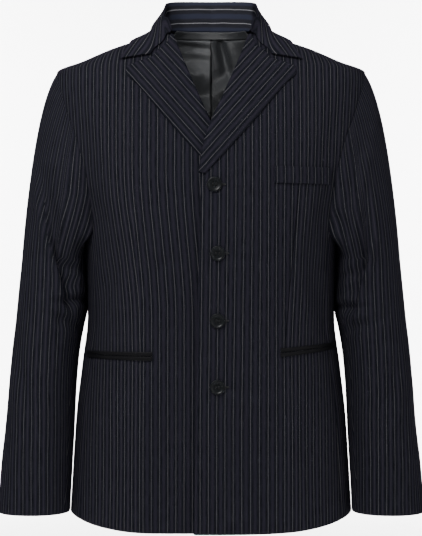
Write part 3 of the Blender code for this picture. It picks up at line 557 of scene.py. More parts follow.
@dataclass
class Panels:
    """The shell of the body: half fronts, side bodies and half backs, each on the body form."""

    body: BodyForm = BODY
    rows: int = 150
    front_columns: int = 56
    side_columns: int = 22
    back_columns: int = 40
    soft_edge: float = 0.012
    seam_dip: float = 0.0007
    seam_width: float = 0.0022
    under_shift: float = 0.0100
    under_flat: float = 0.025
    under_out: float = 0.115
    under_fade: tuple[float, float] = (-0.150, -0.060)   # heights over which the tuck ends
    neck_rise: float = 0.0040    # how far the back's neck edge rises at its middle
    hem_round: float = 4.5
    hem_reach: float = 0.16

    def heights(self, top: float) -> Array:
        """Heights from the hem to the top, closer above the shoulder point and at the hem."""
        low = np.linspace(HEM_SIDE_Z, min(top, SHOULDER_Z), self.rows + 1)
        low = np.concatenate((HEM_SIDE_Z + np.array((0.0, 0.0006, 0.0015, 0.0027)), low[1:]))
        if top <= SHOULDER_Z:
            return low
        return np.concatenate((low, np.linspace(SHOULDER_Z, top, 33)[1:]))

    def hem(self, points: Array) -> Array:
        """Lower a panel's last rows to the hem, lowest in the middle.

        In front the fall is 1 - |x/w|^n of its whole, so that it is quick beside the side body and
        flat in the middle; behind it is cos(a)^2, and both fade out upwards.
        """
        angle = np.arctan2(points[..., 0], -points[..., 1])
        half_width = along(self.body.levels, points[..., 2], 1)
        wide = np.clip(np.abs(points[..., 0]) / half_width, 0.0, 1.0)
        share = 1.0 - smoothstep(HEM_SIDE_Z, HEM_SIDE_Z + self.hem_reach, points[..., 2])
        front_fall = (HEM_FRONT_Z - HEM_SIDE_Z) * (1.0 - wide**self.hem_round)
        back_fall = (HEM_BACK_Z - HEM_SIDE_Z) * np.cos(angle) ** 2
        fall = np.where(points[..., 1] < 0.0, front_fall, back_fall)
        points = points.copy()
        points[..., 2] += fall * share
        return points

    def tuck(self, points: Array) -> Array:
        """Lay the right front's overlap inside the left front, fading out sideways and upwards."""
        near = 1.0 - smoothstep(self.under_flat, self.under_out, points[..., 0])
        climb = 1.0 - smoothstep(*self.under_fade, points[..., 2])
        points = points.copy()
        points[..., 1] += self.under_shift * near * climb
        return points

    def piece(self, outline: Outline, start: Array, end: Array, columns: int,
              origin: Array) -> Cloth:
        """A panel between two lengths of cloth round every outline.

        Args:
            outline: The body's outlines on the panel's rows.
            start: Length round the body where each row starts.
            end: Length where it ends.
            columns: Number of panes across.
            origin: Length round the body where the flat cloth's across is nothing.

        Returns:
            The cloth, its flat places in metres across and up.
        """
        shares = spread(columns, self.soft_edge)
        wanted = start[:, None] + (end - start)[:, None] * shares[None, :]
        grid = self.hem(outline.at(wanted))
        flat = np.stack((wanted - origin[:, None], grid[..., 2]), axis=-1)
        rise = np.clip((outline.z - outline.z[0]) / 0.003, 0.0, 1.0)
        return Cloth(grid, self.body.normals(grid), flat,
                     rows_full=closing(rise),
                     columns_full=edge_share(shares, self.soft_edge))

    def seam_press(self, cloth: Cloth, first: bool, last: bool) -> Array:
        """A fine dip along the first and the last column, where the cloth turns into a seam."""
        run = row_runs(cloth.grid)
        dip = np.zeros(run.shape)
        if first:
            dip += self.seam_dip * np.exp(-(run / self.seam_width) ** 2)
        if last:
            dip += self.seam_dip * np.exp(-((run[:, -1:] - run) / self.seam_width) ** 2)
        return dip

    def front(self, troughs: Sequence[Trough]) -> Cloth:
        """Half a front, from the edge or roll line out to the side seam, armhole and shoulder."""
        z = self.heights(NECK_POINT_Z)
        outline = self.body.outline(z)
        inner = np.where(z <= BREAK_Z, -along(FRONT_EDGE, z), along(ROLL_LINE, z))
        start = outline.run_at_x(inner)
        end = np.where(z <= ARMPIT_Z, outline.run_at_angle(SIDE_FRONT_ANGLE),
                       outline.run_at_x(along(ARMHOLE, z, 1)))
        end = np.where(z < SHOULDER_Z - 1e-6, end, outline.run_at_angle(math.pi / 2))
        cloth = self.piece(outline, start, end + LAP, self.front_columns,
                           outline.run_at_x(np.zeros(len(z))))
        depth = press_all(troughs, cloth.grid[..., 0], cloth.grid[..., 2])
        return cloth.pressed(depth * self.edge_hold(cloth) + self.seam_press(cloth, False, True))

    def back(self) -> Cloth:
        """Half the back, from the side seam, armhole and shoulder to the middle seam."""
        z = self.heights(NECK_POINT_Z)
        outline = self.body.outline(z)
        start = np.where(z <= ARMPIT_Z, outline.run_at_angle(SIDE_BACK_ANGLE),
                         outline.run_at_x(along(ARMHOLE, z, 2), behind=True))
        start = np.where(z < SHOULDER_Z - 1e-6, start, outline.run_at_angle(math.pi / 2))
        end = outline.run_at_angle(math.pi)
        cloth = self.piece(outline, start - LAP, end + LAP, self.back_columns, end)
        grid = cloth.grid
        middle = 1.0 - smoothstep(0.0, 0.07, grid[..., 0])
        grid[..., 2] += self.neck_rise * middle * smoothstep(SHOULDER_Z, NECK_POINT_Z, grid[..., 2])
        depth = press_all(BACK_TROUGHS, grid[..., 0], grid[..., 2])
        return cloth.pressed(depth * self.edge_hold(cloth) + self.seam_press(cloth, True, True))

    def side(self) -> Cloth:
        """The side body, from the front seam round to the back seam, its top under the arm."""
        share = self.heights(SHOULDER_Z)[::2]
        share = (share - share[0]) / (share[-1] - share[0])
        shares = spread(self.side_columns, self.soft_edge)
        angle = SIDE_FRONT_ANGLE + (SIDE_BACK_ANGLE - SIDE_FRONT_ANGLE) * shares
        top = ARMPIT_Z - 0.010 * np.sin(np.pi * shares)
        columns = []
        for a, high in zip(angle, top):
            outline = self.body.outline(HEM_SIDE_Z + share * (high - HEM_SIDE_Z))
            past = LAP * (float(a == angle[-1]) - float(a == angle[0]))
            columns.append(outline.at(outline.run_at_angle(a)[:, None] + past)[:, 0])
        grid = self.hem(np.array(columns).transpose(1, 0, 2))
        run = row_runs(grid)
        flat = np.stack((run - run[:, -1:] / 2, grid[..., 2]), axis=-1)
        cloth = Cloth(grid, self.body.normals(grid), flat,
                      columns_full=edge_share(shares, self.soft_edge))
        return cloth.pressed(self.seam_press(cloth, True, True))

    def edge_hold(self, cloth: Cloth) -> Array:
        """1 inside the panel and 0 on its seams, hem and neck, so that troughs end at them."""
        shares = np.linspace(0.0, 1.0, cloth.grid.shape[1])
        sides = smoothstep(0.0, 0.07, shares) * smoothstep(0.0, 0.07, 1.0 - shares)
        z = cloth.grid[..., 2]
        return sides[None, :] * (1.0 - smoothstep(-0.090, SHOULDER_Z, z))


# Sleeve below the armpit: height, outer side, inner side, front, back, and how far the inner
# side swings in behind the body
SLEEVE = (
    (-0.7080, 0.3000, 0.2001, -0.0810, 0.0180, 0.000),
    (-0.6838, 0.2985, 0.1992, -0.0810, 0.0210, 0.000),
    (-0.6266, 0.2940, 0.1966, -0.0815, 0.0310, 0.000),
    (-0.5810, 0.2895, 0.1943, -0.0820, 0.0390, 0.000),
    (-0.5236, 0.2855, 0.1922, -0.0815, 0.0490, 0.000),
    (-0.4780, 0.2815, 0.1890, -0.0800, 0.0570, 0.002),
    (-0.4344, 0.2770, 0.1828, -0.0780, 0.0650, 0.012),
    (-0.4108, 0.2750, 0.1790, -0.0770, 0.0690, 0.023),
    (-0.3860, 0.2728, 0.1785, -0.0760, 0.0720, 0.028),
    (-0.3400, 0.2685, 0.1800, -0.0745, 0.0780, 0.028),
)
CUFF_Z, BICEP_Z = -0.6940, -0.3400
SLEEVE_GIRTH = 0.40      # round the upper arm, for the places of the folds
UNDER_SLEEVE = (0.42, 0.63)      # its seams, as shares of the way round from the outer side


def arm_fold(start_z: float, start_share: float, end_z: float, end_share: float, depth: float,
             half_width: float, stretch: float = 1.0) -> Trough:
    """A drag fold between two places given as height and share of the way round the sleeve."""
    return Trough((start_share * SLEEVE_GIRTH, start_z), (end_share * SLEEVE_GIRTH, end_z),
                  depth, half_width, stretch=stretch)


# Drag folds; shares run from the outer side towards the front
LEFT_FOLDS = (
    arm_fold(-0.3050, 0.340, -0.1550, 0.110, 0.0050, 0.0060, 2.2),
    arm_fold(-0.4050, 0.352, -0.2700, 0.225, 0.0120, 0.0060, 2.8),
    arm_fold(-0.4070, 0.330, -0.4080, 0.460, 0.0060, 0.0060),
    arm_fold(-0.225, 0.400, -0.330, 0.300, 0.0035, 0.0120),
    arm_fold(-0.360, 0.530, -0.400, 0.590, 0.0030, 0.0120),
    arm_fold(-0.250, 0.830, -0.360, 0.690, 0.0045, 0.0150),
    arm_fold(-0.355, 0.310, -0.366, 0.430, 0.0028, 0.0060),
    arm_fold(-0.425, 0.270, -0.440, 0.400, 0.0034, 0.0070),
    arm_fold(-0.480, 0.180, -0.560, 0.260, 0.0028, 0.0120),
    arm_fold(-0.560, 0.050, -0.660, 0.100, 0.0020, 0.0140),
    arm_fold(-0.400, 0.900, -0.480, 0.980, 0.0024, 0.0120),
)
RIGHT_FOLDS = (
    arm_fold(-0.3350, 0.290, -0.2350, 0.135, 0.0115, 0.0060, 2.8),
    arm_fold(-0.4000, 0.352, -0.3325, 0.290, 0.0120, 0.0060, 2.8),
    arm_fold(-0.3980, 0.320, -0.3960, 0.450, 0.0060, 0.0060),
    arm_fold(-0.330, 0.380, -0.440, 0.310, 0.0035, 0.0120),
    arm_fold(-0.350, 0.530, -0.410, 0.590, 0.0030, 0.0120),
    arm_fold(-0.240, 0.820, -0.350, 0.700, 0.0040, 0.0150),
    arm_fold(-0.345, 0.300, -0.358, 0.430, 0.0030, 0.0060),
    arm_fold(-0.418, 0.280, -0.436, 0.410, 0.0034, 0.0070),
    arm_fold(-0.470, 0.140, -0.560, 0.230, 0.0028, 0.0130),
    arm_fold(-0.550, 0.060, -0.650, 0.110, 0.0020, 0.0130),
    arm_fold(-0.390, 0.880, -0.470, 0.960, 0.0022, 0.0120),
)


@dataclass(frozen=True)
class Crease:
    """A long drag crease down a sleeve: inside it, to the front seam, the stripes slant."""

    top: tuple[float, float]
    foot: tuple[float, float]
    slant: float

    def places(self, share: Array, z: Array) -> Array:
        """How far inside the crease each point is, and how far its stripes are moved there.

        The move is slant times the drop below the top, down to the foot at the elbow, so that
        the stripes run into the crease; outside it, and round the back, nothing moves.

        Args:
            share: Shares of the way round, from the outer side towards the front.
            z: Heights.

        Returns:
            Both, in metres, on a new last axis.
        """
        part = np.clip((self.top[0] - z) / (self.top[0] - self.foot[0]), 0.0, 1.0)
        line = self.top[1] + (self.foot[1] - self.top[1]) * part
        front = share - np.floor(share)
        inside = np.where(front < 0.5, front - line, -0.1) * SLEEVE_GIRTH
        drop = self.top[0] - z
        there = (drop > 0.0) & (z > self.foot[0])
        return np.stack((np.where(there, inside, -0.1), self.slant * drop * there), axis=-1)


LEFT_CREASE = Crease((-0.2700, 0.225), (-0.4050, 0.345), 0.11)
RIGHT_CREASE = Crease((-0.2500, 0.145), (-0.3960, 0.350), 0.12)


@dataclass
class SleeveForm:
    """A set-in sleeve: rows from the armhole to the cuff, columns all the way round."""

    folds: Sequence[Trough]
    crease: Crease
    body: BodyForm = BODY
    points: int = 400
    cap_rows: int = 40
    arm_rows: int = 96
    rounding: float = 2.15
    tucked_in: float = 0.0012
    # The cap's slopes: where it leaves the armhole, and where it comes to the upper arm
    leave_out: tuple[float, float] = (0.004, 0.084)      # at the armpit, and more at the crown
    leave_forward: float = 0.030
    leave_down: tuple[float, float] = (0.030, 0.090)
    arrive_out: float = 0.020
    arrive_down: tuple[float, float] = (0.040, 0.230)

    def __post_init__(self) -> None:
        """Work out the whole sleeve once."""
        self.shares = np.linspace(0.0, 1.0, self.points + 1)
        self.grid, self.normal = self.whole()
        run = row_runs(self.grid)
        run[:self.cap_rows] = self.cap_run(run[self.cap_rows])
        down = np.linalg.norm(np.diff(self.grid, axis=0), axis=2)
        up = -np.concatenate((np.zeros((1, down.shape[1])), np.cumsum(down, axis=0)))
        self.run, self.up = run, up

    def cap_run(self, bicep: Array) -> Array:
        """Across places over the cap, so that stripes go up it along the sleeve's outer line.

        Each point is carried down, beside the outer line, to the upper arm's outline: its place
        there, X in from the outer line and Y from the middle, gives the turn
        atan2(sign(Y)|Y/b|^(n/2), sign(X)|X/a|^(n/2)), and the turn gives the length round.

        Args:
            bicep: Length round the upper arm at each column.

        Returns:
            The lengths round for every row of the cap.
        """
        cap = self.grid[:self.cap_rows]
        outer, inner, front, back = (float(along(SLEEVE, BICEP_Z, c)) for c in (1, 2, 3, 4))
        a, b = (outer - inner) / 2, (back - front) / 2
        crown = self.grid[:self.cap_rows + 1, 0]
        line = np.interp(cap[..., 2], crown[::-1, 2], crown[::-1, 0])
        x, y = (cap[..., 0] - line + a) / a, ((front + back) / 2 - cap[..., 1]) / b
        power = self.rounding / 2.0
        turn = np.arctan2(squared_off(y, power), squared_off(x, power))
        share = np.where(turn < 0.0, turn + 2 * np.pi, turn) / (2 * np.pi)
        share[:, 0], share[:, -1] = 0.0, 1.0
        return np.interp(share, self.shares, bicep)

    def hole(self) -> Array:
        """The armhole seam as even points, down the front from the shoulder and up behind."""
        z = np.linspace(SHOULDER_Z, ARMPIT_Z, 160)
        down = self.body.front(along(ARMHOLE, z, 1), z)
        share = np.linspace(0.0, 1.0, 48)[1:-1]
        angle = SIDE_FRONT_ANGLE + (SIDE_BACK_ANGLE - SIDE_FRONT_ANGLE) * share
        below = self.body.outline(ARMPIT_Z - 0.010 * np.sin(np.pi * share))
        run = np.array([below.run_at_angle(a)[k] for k, a in enumerate(angle)])
        behind = self.body.outline(z[::-1])
        back = behind.run_at_x(along(ARMHOLE, z[::-1], 2), behind=True)
        path = np.concatenate((down, below.at(run[:, None])[:, 0], behind.at(back[:, None])[:, 0]))
        length = np.concatenate(([0.0], np.cumsum(np.linalg.norm(np.diff(path, axis=0), axis=1))))
        wanted = self.shares * length[-1]
        return np.stack([np.interp(wanted, length, path[:, k]) for k in range(3)], axis=1)

    def rings(self, z: Array) -> Array:
        """Level outlines: centre plus half size times sign(cos t)|cos t|^(2/n), and so for sin."""
        outer, inner, front, back, swing = (along(SLEEVE, z, c)[:, None] for c in (1, 2, 3, 4, 5))
        turn = 2 * np.pi * self.shares[None, :]
        power = 2.0 / self.rounding
        x = (outer + inner) / 2 + (outer - inner) / 2 * squared_off(np.cos(turn), power)
        x = x - swing * (1.0 - np.cos(turn)) / 2 * np.clip(-np.sin(turn), 0.0, 1.0) ** 2
        y = (front + back) / 2 - (back - front) / 2 * squared_off(np.sin(turn), power)
        return np.stack((x, y, np.broadcast_to(z[:, None], x.shape)), axis=2)

    def whole(self) -> tuple[Array, Array]:
        """The whole sleeve and its normals.

        The cap is a Hermite patch from the armhole to the upper arm: each column leaves the
        seam outwards and down, more over the crown, and comes down straight.

        Returns:
            The grid (rows, columns, 3) and its unit normals.
        """
        shares = self.shares
        crown = (1.0 + np.cos(2 * np.pi * shares)) / 2
        hole = self.hole()
        hole[:, 0] -= self.tucked_in
        bicep = self.rings(np.array((BICEP_Z,)))[0]
        leave = np.stack((self.leave_out[0] + self.leave_out[1] * crown**1.2,
                          -self.leave_forward * np.sin(2 * np.pi * shares),
                          -self.leave_down[0] - self.leave_down[1] * crown), axis=1)
        arrive = np.stack((self.arrive_out * crown, np.zeros(len(shares)),
                           -(self.arrive_down[0] + self.arrive_down[1] * crown)), axis=1)
        s = np.linspace(0.0, 1.0, self.cap_rows + 1)[:, None, None]
        cap = ((2 * s**3 - 3 * s**2 + 1) * hole + (s**3 - 2 * s**2 + s) * leave
               + (3 * s**2 - 2 * s**3) * bicep + (s**3 - s**2) * arrive)
        z = np.linspace(BICEP_Z, CUFF_Z + 0.0027, self.arm_rows + 1)[1:]
        z = np.concatenate((z, CUFF_Z + np.array((0.0015, 0.0006, 0.0))))
        grid = np.concatenate((cap, self.rings(z)))
        hold = smoothstep(0.0, 0.375, np.concatenate((s[:, 0, 0], np.ones(len(z)))))
        across = np.broadcast_to(shares * SLEEVE_GIRTH, grid.shape[:2])
        press = press_all(self.folds, across, grid[..., 2])
        press = press + press_all(self.folds, across + SLEEVE_GIRTH, grid[..., 2])
        press = press * hold[:, None] * self.seam_hold()
        first = self.wrapped_normals(grid)
        grid = grid - first * press[..., None]
        normal = self.wrapped_normals(grid)
        upper = smoothstep(-0.6, 0.2, np.cos(2 * np.pi * shares))[:, None]
        ease = np.exp(-np.arange(len(grid)) / 2.0)[:, None, None]
        normal = normal + (self.body.normals(grid[:1]) - normal) * upper * ease
        return grid, normal / np.linalg.norm(normal, axis=2, keepdims=True)

    def seam_hold(self) -> Array:
        """1 between the sleeve's two seams and 0.35 on them, so that folds soften there."""
        near = np.min([np.abs(self.shares - seam) for seam in UNDER_SLEEVE], axis=0)
        return 0.35 + 0.65 * smoothstep(0.0, 0.02, near)

    def wrapped_normals(self, grid: Array) -> Array:
        """Normals of the closed tube, the same on its first and last column."""
        around = np.concatenate((grid[:, -4:-1], grid, grid[:, 1:4]), axis=1)
        return grid_normals(around)[:, 3:-3]

    def part(self, start: float, end: float, columns: int) -> Cloth:
        """The columns between two seams, given as shares of the way round.

        Args:
            start: Share where the piece starts.
            end: Share where it ends, up to 2.
            columns: Number of panes across.

        Returns:
            The cloth, flat places measured from the outer side and down from the armhole.
        """
        soft = 0.0045 / ((end - start) * SLEEVE_GIRTH)
        shares = spread(columns, soft)
        wanted = (start + (end - start) * shares) * self.points
        low = np.clip(np.floor(wanted).astype(int), 0, 2 * self.points - 1)
        share = wanted - low

        def pick(whole: Array) -> Array:
            """Columns of a grid at the wanted places, between the two nearest."""
            part = share if whole.ndim == 2 else share[:, None]
            return whole[:, low] * (1.0 - part) + whole[:, low + 1] * part

        girth = self.run[:, -1:]
        run = np.concatenate((self.run, self.run[:, 1:] + girth), axis=1) - girth * round(end)
        grid, normal, up = (pick(np.concatenate((once, once[:, 1:]), axis=1))
                            for once in (self.grid, self.normal, self.up))
        normal /= np.linalg.norm(normal, axis=2, keepdims=True)
        rise = np.clip((grid[:, 0, 2] - CUFF_Z) / 0.003, 0.0, 1.0)
        around = np.broadcast_to(wanted / self.points, grid.shape[:2])
        return Cloth(grid, normal, np.stack((pick(run), up), axis=-1),
                     rows_full=closing(rise),
                     columns_full=edge_share(shares, soft),
                     dart=self.crease.places(around, grid[..., 2]))


# Lapel, laid on the front: share of the way up, distance from the middle and height of its edge
LAPEL_EDGE = (
    (0.00, -0.0085, -0.2245), (0.10, 0.0070, -0.2085), (0.50, 0.0585, -0.1512),
    (0.86, 0.1025, -0.0985), (0.95, 0.1172, -0.0825), (1.00, 0.1165, -0.0735),
)
# Gorge seam and top edge: share across, distance from the middle and height
GORGE = (
    (0.00, 0.0595, -0.0240), (0.13, 0.0670, -0.0405), (0.30, 0.0772, -0.0490),
    (0.39, 0.0830, -0.0582), (0.70, 0.1005, -0.0664), (1.00, 0.1165, -0.0740),
)
NOTCH_SHARE = 0.39
# Collar, from the middle of the back to the notch: share, x, y, z
COLLAR_SEAM = (
    (0.00, 0.0000, 0.0848, -0.0022), (0.25, 0.0400, 0.0757, -0.0032),
    (0.50, 0.0655, 0.0430, -0.0046), (0.75, 0.0705, 0.0020, -0.0052),
    (0.88, 0.0620, -0.0250, -0.0075), (1.00, 0.0535, -0.0450, -0.0225),
)
COLLAR_CREASE = (
    (0.00, 0.0000, 0.0800, 0.0425), (0.25, 0.0430, 0.0690, 0.0408),
    (0.50, 0.0650, 0.0390, 0.0328), (0.75, 0.0670, -0.0060, 0.0080),
    (0.88, 0.0605, -0.0330, -0.0005), (1.00, 0.0548, -0.0550, -0.0190),
)
COLLAR_FALL = (
    (0.00, 0.0000, 0.0935, 0.0180), (0.25, 0.0530, 0.0850, 0.0160),
    (0.50, 0.0770, 0.0500, 0.0065), (0.75, 0.0862, 0.0000, -0.0125),
    (1.00, 0.0830, -0.0500, -0.0590),
)
COLLAR_EDGE = (
    (0.00, 0.0000, 0.0990, -0.0160), (0.25, 0.0570, 0.0930, -0.0190),
    (0.50, 0.0850, 0.0620, -0.0270), (0.75, 0.0905, 0.0100, -0.0240),
    (0.90, 0.1060, -0.0400, -0.0390), (1.00, 0.1235, -0.0480, -0.0660),
)
LEAF_POINT = (0.1240, -0.0665)


@dataclass
class LapelForm:
    """A notched lapel: rows from the break to the gorge, columns from the roll to the edge."""

    body: BodyForm = BODY
    roll_radius: float = 0.0030
    turned_in: float = 0.009
    spring: float = 0.0016
    low_z: float = -0.2235
    top_z: float = -0.0275
    rows: int = 84
    columns: int = 30

    def cloth(self) -> Cloth:
        """The lapel turned back on the front.

        Across, a row goes on inside the roll, bends round it on an arc of the roll radius, and
        lies out to the edge, a layer off the front and springing off it midway by a sine.

        Returns:
            The cloth; its flat across is the distance from the straight outer edge.
        """
        v = np.concatenate((np.linspace(0.0, 0.965, self.rows), (0.978, 0.988, 0.995, 1.0)))
        across = spread(self.columns, 0.03)[3:]
        across = (across - across[0]) / (1.0 - across[0])
        roll_z = self.low_z + v * (self.top_z - self.low_z)
        roll = np.stack((along(ROLL_LINE, roll_z), roll_z), axis=1)
        edge = curve(LAPEL_EDGE, v)
        flat = roll[:, None] + (edge - roll)[:, None] * across[None, :, None]
        gorge = curve(GORGE, across)
        straight = gorge[0] + (gorge[-1] - gorge[0]) * across[:, None]
        flat = flat + (gorge - straight)[None] * (v**6)[:, None, None]
        lift = self.spring * np.sin(np.pi * across)[None] * np.sin(np.pi * (0.05 + 0.9 * v))[:, None]
        off = self.roll_radius + (LAYER - self.roll_radius) * across[None] + lift
        outside = self.body.front(flat[..., 0], flat[..., 1], off)
        base = self.body.front(roll[:, 0], roll[:, 1])
        normal = self.body.normals(base)
        toward = roll + (edge - roll) * 0.05
        onward = self.body.front(toward[:, 0], toward[:, 1]) - base
        onward /= np.linalg.norm(onward, axis=1, keepdims=True)
        turned = self.turned_in * np.minimum(1.0, 0.35 + 3.0 * v)[:, None]
        inside = [base + onward * turned * s - normal * self.roll_radius
                  for s in (1.0, 0.66, 0.33, 0.0)]
        bend = [base + self.roll_radius * (normal * math.sin(t) - onward * math.cos(t))
                for t in np.radians(np.linspace(-70.0, 70.0, 9))]
        turn = np.stack(inside + bend, axis=1)
        grid = np.concatenate((turn, outside), axis=1)
        rise = np.clip((1.0 - v) / 0.022, 0.0, 1.0)
        full = np.concatenate((np.ones(turn.shape[1]),
                               edge_share(0.5 + across / 2, 0.015)))
        return Cloth(grid, grid_normals(grid), self.places(grid),
                     rows_full=closing(rise), columns_full=full)

    def places(self, grid: Array) -> Array:
        """Flat places: across, the distance in from the straight edge, and along that edge."""
        foot, head = np.array(LAPEL_EDGE[1][1:]), np.array(LAPEL_EDGE[3][1:])
        way = (head - foot) / np.linalg.norm(head - foot)
        offset = grid[..., [0, 2]] - foot
        inward = -(offset[..., 0] * way[1] - offset[..., 1] * way[0])
        return np.stack((inward, offset @ way), axis=-1)


@dataclass
class CollarForm:
    """The folded collar: rows from the neck seam over the crease to the leaf edge."""

    body: BodyForm = BODY
    columns: int = 64
    stand_rows: int = 14
    bend_rows: int = 10
    fall_rows: int = 34
    bend: float = 0.0035
    off: float = 0.0045
    flush: float = 0.0028
    end: float = 0.6
    fall_share: float = 0.45
    notch_gap: float = 0.0016
    stand_pitch: float = 0.56    # the stripes lie this much wider on the stand

    def half(self) -> Cloth:
        """Half the collar, from the middle of the back to the notch.

        Each column is a straight stand, a quadratic Bezier over the crease, and a fall
        through two points, pushed clear of the body; near the notch it takes the gorge's line.

        Returns:
            The cloth; its flat across is the distance past the crease.
        """
        shares = np.concatenate((np.linspace(0.0, 0.97, self.columns), (0.985, 0.994, 1.0))) ** 0.9
        down = np.concatenate((np.linspace(0.0, 0.965, self.fall_rows), (0.98, 0.992, 1.0)))[1:]
        notch = curve(GORGE, NOTCH_SHARE)
        columns, places = [], []
        for a in shares:
            column = self.column(float(a), down, notch)
            step = np.linalg.norm(np.diff(column, axis=0), axis=1)
            run = np.concatenate(([0.0], np.cumsum(step)))
            past = run - run[self.stand_rows + self.bend_rows // 2]
            leaf = self.leaf_across(column) - past
            inside = past * self.stand_pitch - 0.0015 * smoothstep(0.0, 0.006, -past)
            outside = past + leaf * smoothstep(0.45, 0.75, a) * smoothstep(0.0, 0.008, past)
            past = np.where(past < 0.0, inside, outside)
            columns.append(column)
            places.append(np.stack((past, np.full(len(run), a * 0.22)), axis=-1))
        grid = np.array(columns).transpose(1, 0, 2)
        flat = np.array(places).transpose(1, 0, 2)
        rows = np.concatenate((np.ones(self.stand_rows + 1 + self.bend_rows),
                               edge_share(0.5 + down / 2, 0.0175)))
        side = np.clip((1.0 - shares) / 0.027, 0.0, 1.0)
        return Cloth(grid, grid_normals(grid), flat, rows_full=rows,
                     columns_full=closing(side))

    def leaf_across(self, points: Array) -> Array:
        """Across places on the leaf, for stripes that fan out from the roll towards its point.

        A stripe runs down and out by w for each metre of drop, w growing with the distance X
        out from the roll, so its place is X less w times the drop, and more near the steep roll.

        Args:
            points: A column of the collar, (n, 3).

        Returns:
            The distance across for each point.
        """
        out = np.abs(points[:, 0]) - 0.0690
        lean = 0.60 * smoothstep(-0.002, 0.034, out)
        out = out - lean * (-0.0300 - points[:, 2])
        return out + 0.0060 * (1.0 - np.exp(-np.maximum(out, 0.0) / 0.0080))

    def column(self, a: float, down: Array, notch: Array) -> Array:
        """One column of the half collar, at a share a of the way to the notch."""
        seam, crease, fall, edge = (curve(table, a) for table in (
            COLLAR_SEAM, COLLAR_CREASE, COLLAR_FALL, COLLAR_EDGE))
        over = (fall - crease) / np.linalg.norm(fall - crease)
        stand = (crease - seam) / np.linalg.norm(crease - seam)
        start = crease - self.bend * stand
        low = seam + (start - seam) * np.linspace(0, 1, self.stand_rows + 1)[:, None]
        end = self.body.clear(crease + self.bend * 1.2 * over - (0.0, 0.0, 0.001), self.off)
        s = np.linspace(0, 1, self.bend_rows + 1)[1:, None]
        turn = ((1 - s) ** 2 * start + 2 * s * (1 - s) * (crease + 0.002 * (stand - 0.2 * over))
                + s**2 * end)
        knots = np.array(((0.0, *end), (self.fall_share, *fall), (1.0, *edge)))
        drape = curve(knots, down)
        drape = self.body.clear(drape, self.off * np.minimum(1.0, 0.7 + down))
        if a > self.end:
            near = down / self.fall_share * NOTCH_SHARE
            far = notch + (np.array(LEAF_POINT) - notch) * (
                (down - self.fall_share) / (1 - self.fall_share))[:, None]
            flat = np.where(down[:, None] < self.fall_share, curve(GORGE, near), far)
            wider = self.notch_gap * (1.0 + 0.9 * smoothstep(self.fall_share, 1.0, down))
            flat = flat + wider[:, None] * np.array((0.62, 0.78))
            low_off = self.off + (self.flush - self.off) * (1.0 - smoothstep(0.30, 0.60, down))
            seat = self.body.front(flat[:, 0], flat[:, 1], low_off)
            near_end = smoothstep(self.end, 1.0, a) ** 2
            drape += (seat - drape) * near_end
            drape = self.body.clear(drape, self.off + (low_off - self.off) * near_end)
        return np.concatenate((low, turn, drape))

    def cloth(self) -> Cloth:
        """The whole collar, its two halves joined at the middle of the back."""
        half = self.half()
        grid = half.grid.copy()
        grid[:, 0, 0] = 0.0
        whole = np.concatenate((grid[:, :0:-1] * MIRROR, grid), axis=1)
        flat = np.concatenate((half.flat[:, :0:-1] * (1.0, -1.0), half.flat), axis=1)
        full = np.concatenate((half.columns_full[:0:-1], half.columns_full))
        return Cloth(whole, grid_normals(whole), flat, rows_full=half.rows_full,
                     columns_full=full)


@dataclass
class LiningForm:
    """The satin inside the back: the lining's two halves, and the facing below the collar."""

    body: BodyForm = BODY
    inset: float = 0.0066
    thickness: float = 0.0012
    low_z: float = -0.2700
    top_z: float = -0.0125
    facing_top_z: float = -0.0005
    angle: float = math.radians(129.0)

    def strip(self, z: Array, columns: int) -> Cloth:
        """Half of a piece between two heights, one layer inside the back."""
        outline = self.body.outline(z)
        start = outline.run_at_angle(self.angle)[:, None]
        end = outline.run_at_angle(math.pi)[:, None]
        wanted = start + (end - start) * np.linspace(0.0, 1.0, columns + 1)[None, :]
        grid = outline.at(wanted)
        normal = self.body.normals(grid)
        flat = np.stack((wanted - end, grid[..., 2]), axis=-1)
        return Cloth(grid - normal * self.inset, normal, flat, self.thickness)

    def half(self, folds: Sequence[Trough]) -> Cloth:
        """Half the lining, its folds hanging from the neck, a fine dip at the middle seam."""
        cloth = self.strip(np.linspace(self.low_z, self.top_z, 110), 44)
        x, z = cloth.grid[..., 0], cloth.grid[..., 2]
        seam = 0.0008 * np.exp(-(x / 0.0030) ** 2)
        return cloth.pressed(press_all(folds, x, z) + seam)

    def facing(self) -> Cloth:
        """The facing across the back of the neck, over both halves."""
        cloth = self.strip(np.linspace(self.top_z + 2 * SEAM, self.facing_top_z, 12), 44)
        half = cloth.grid[:, ::-1].copy()
        half[:, 0, 0] = 0.0
        grid = np.concatenate((half[:, :0:-1] * MIRROR, half), axis=1)
        flat = np.concatenate((cloth.flat[:, :-1] * (-1.0, 1.0), cloth.flat[:, ::-1]), axis=1)
        edge = edge_share(np.linspace(0.0, 1.0, 12), 0.12)
        return Cloth(grid, self.body.normals(grid), flat, self.thickness, rows_full=edge)


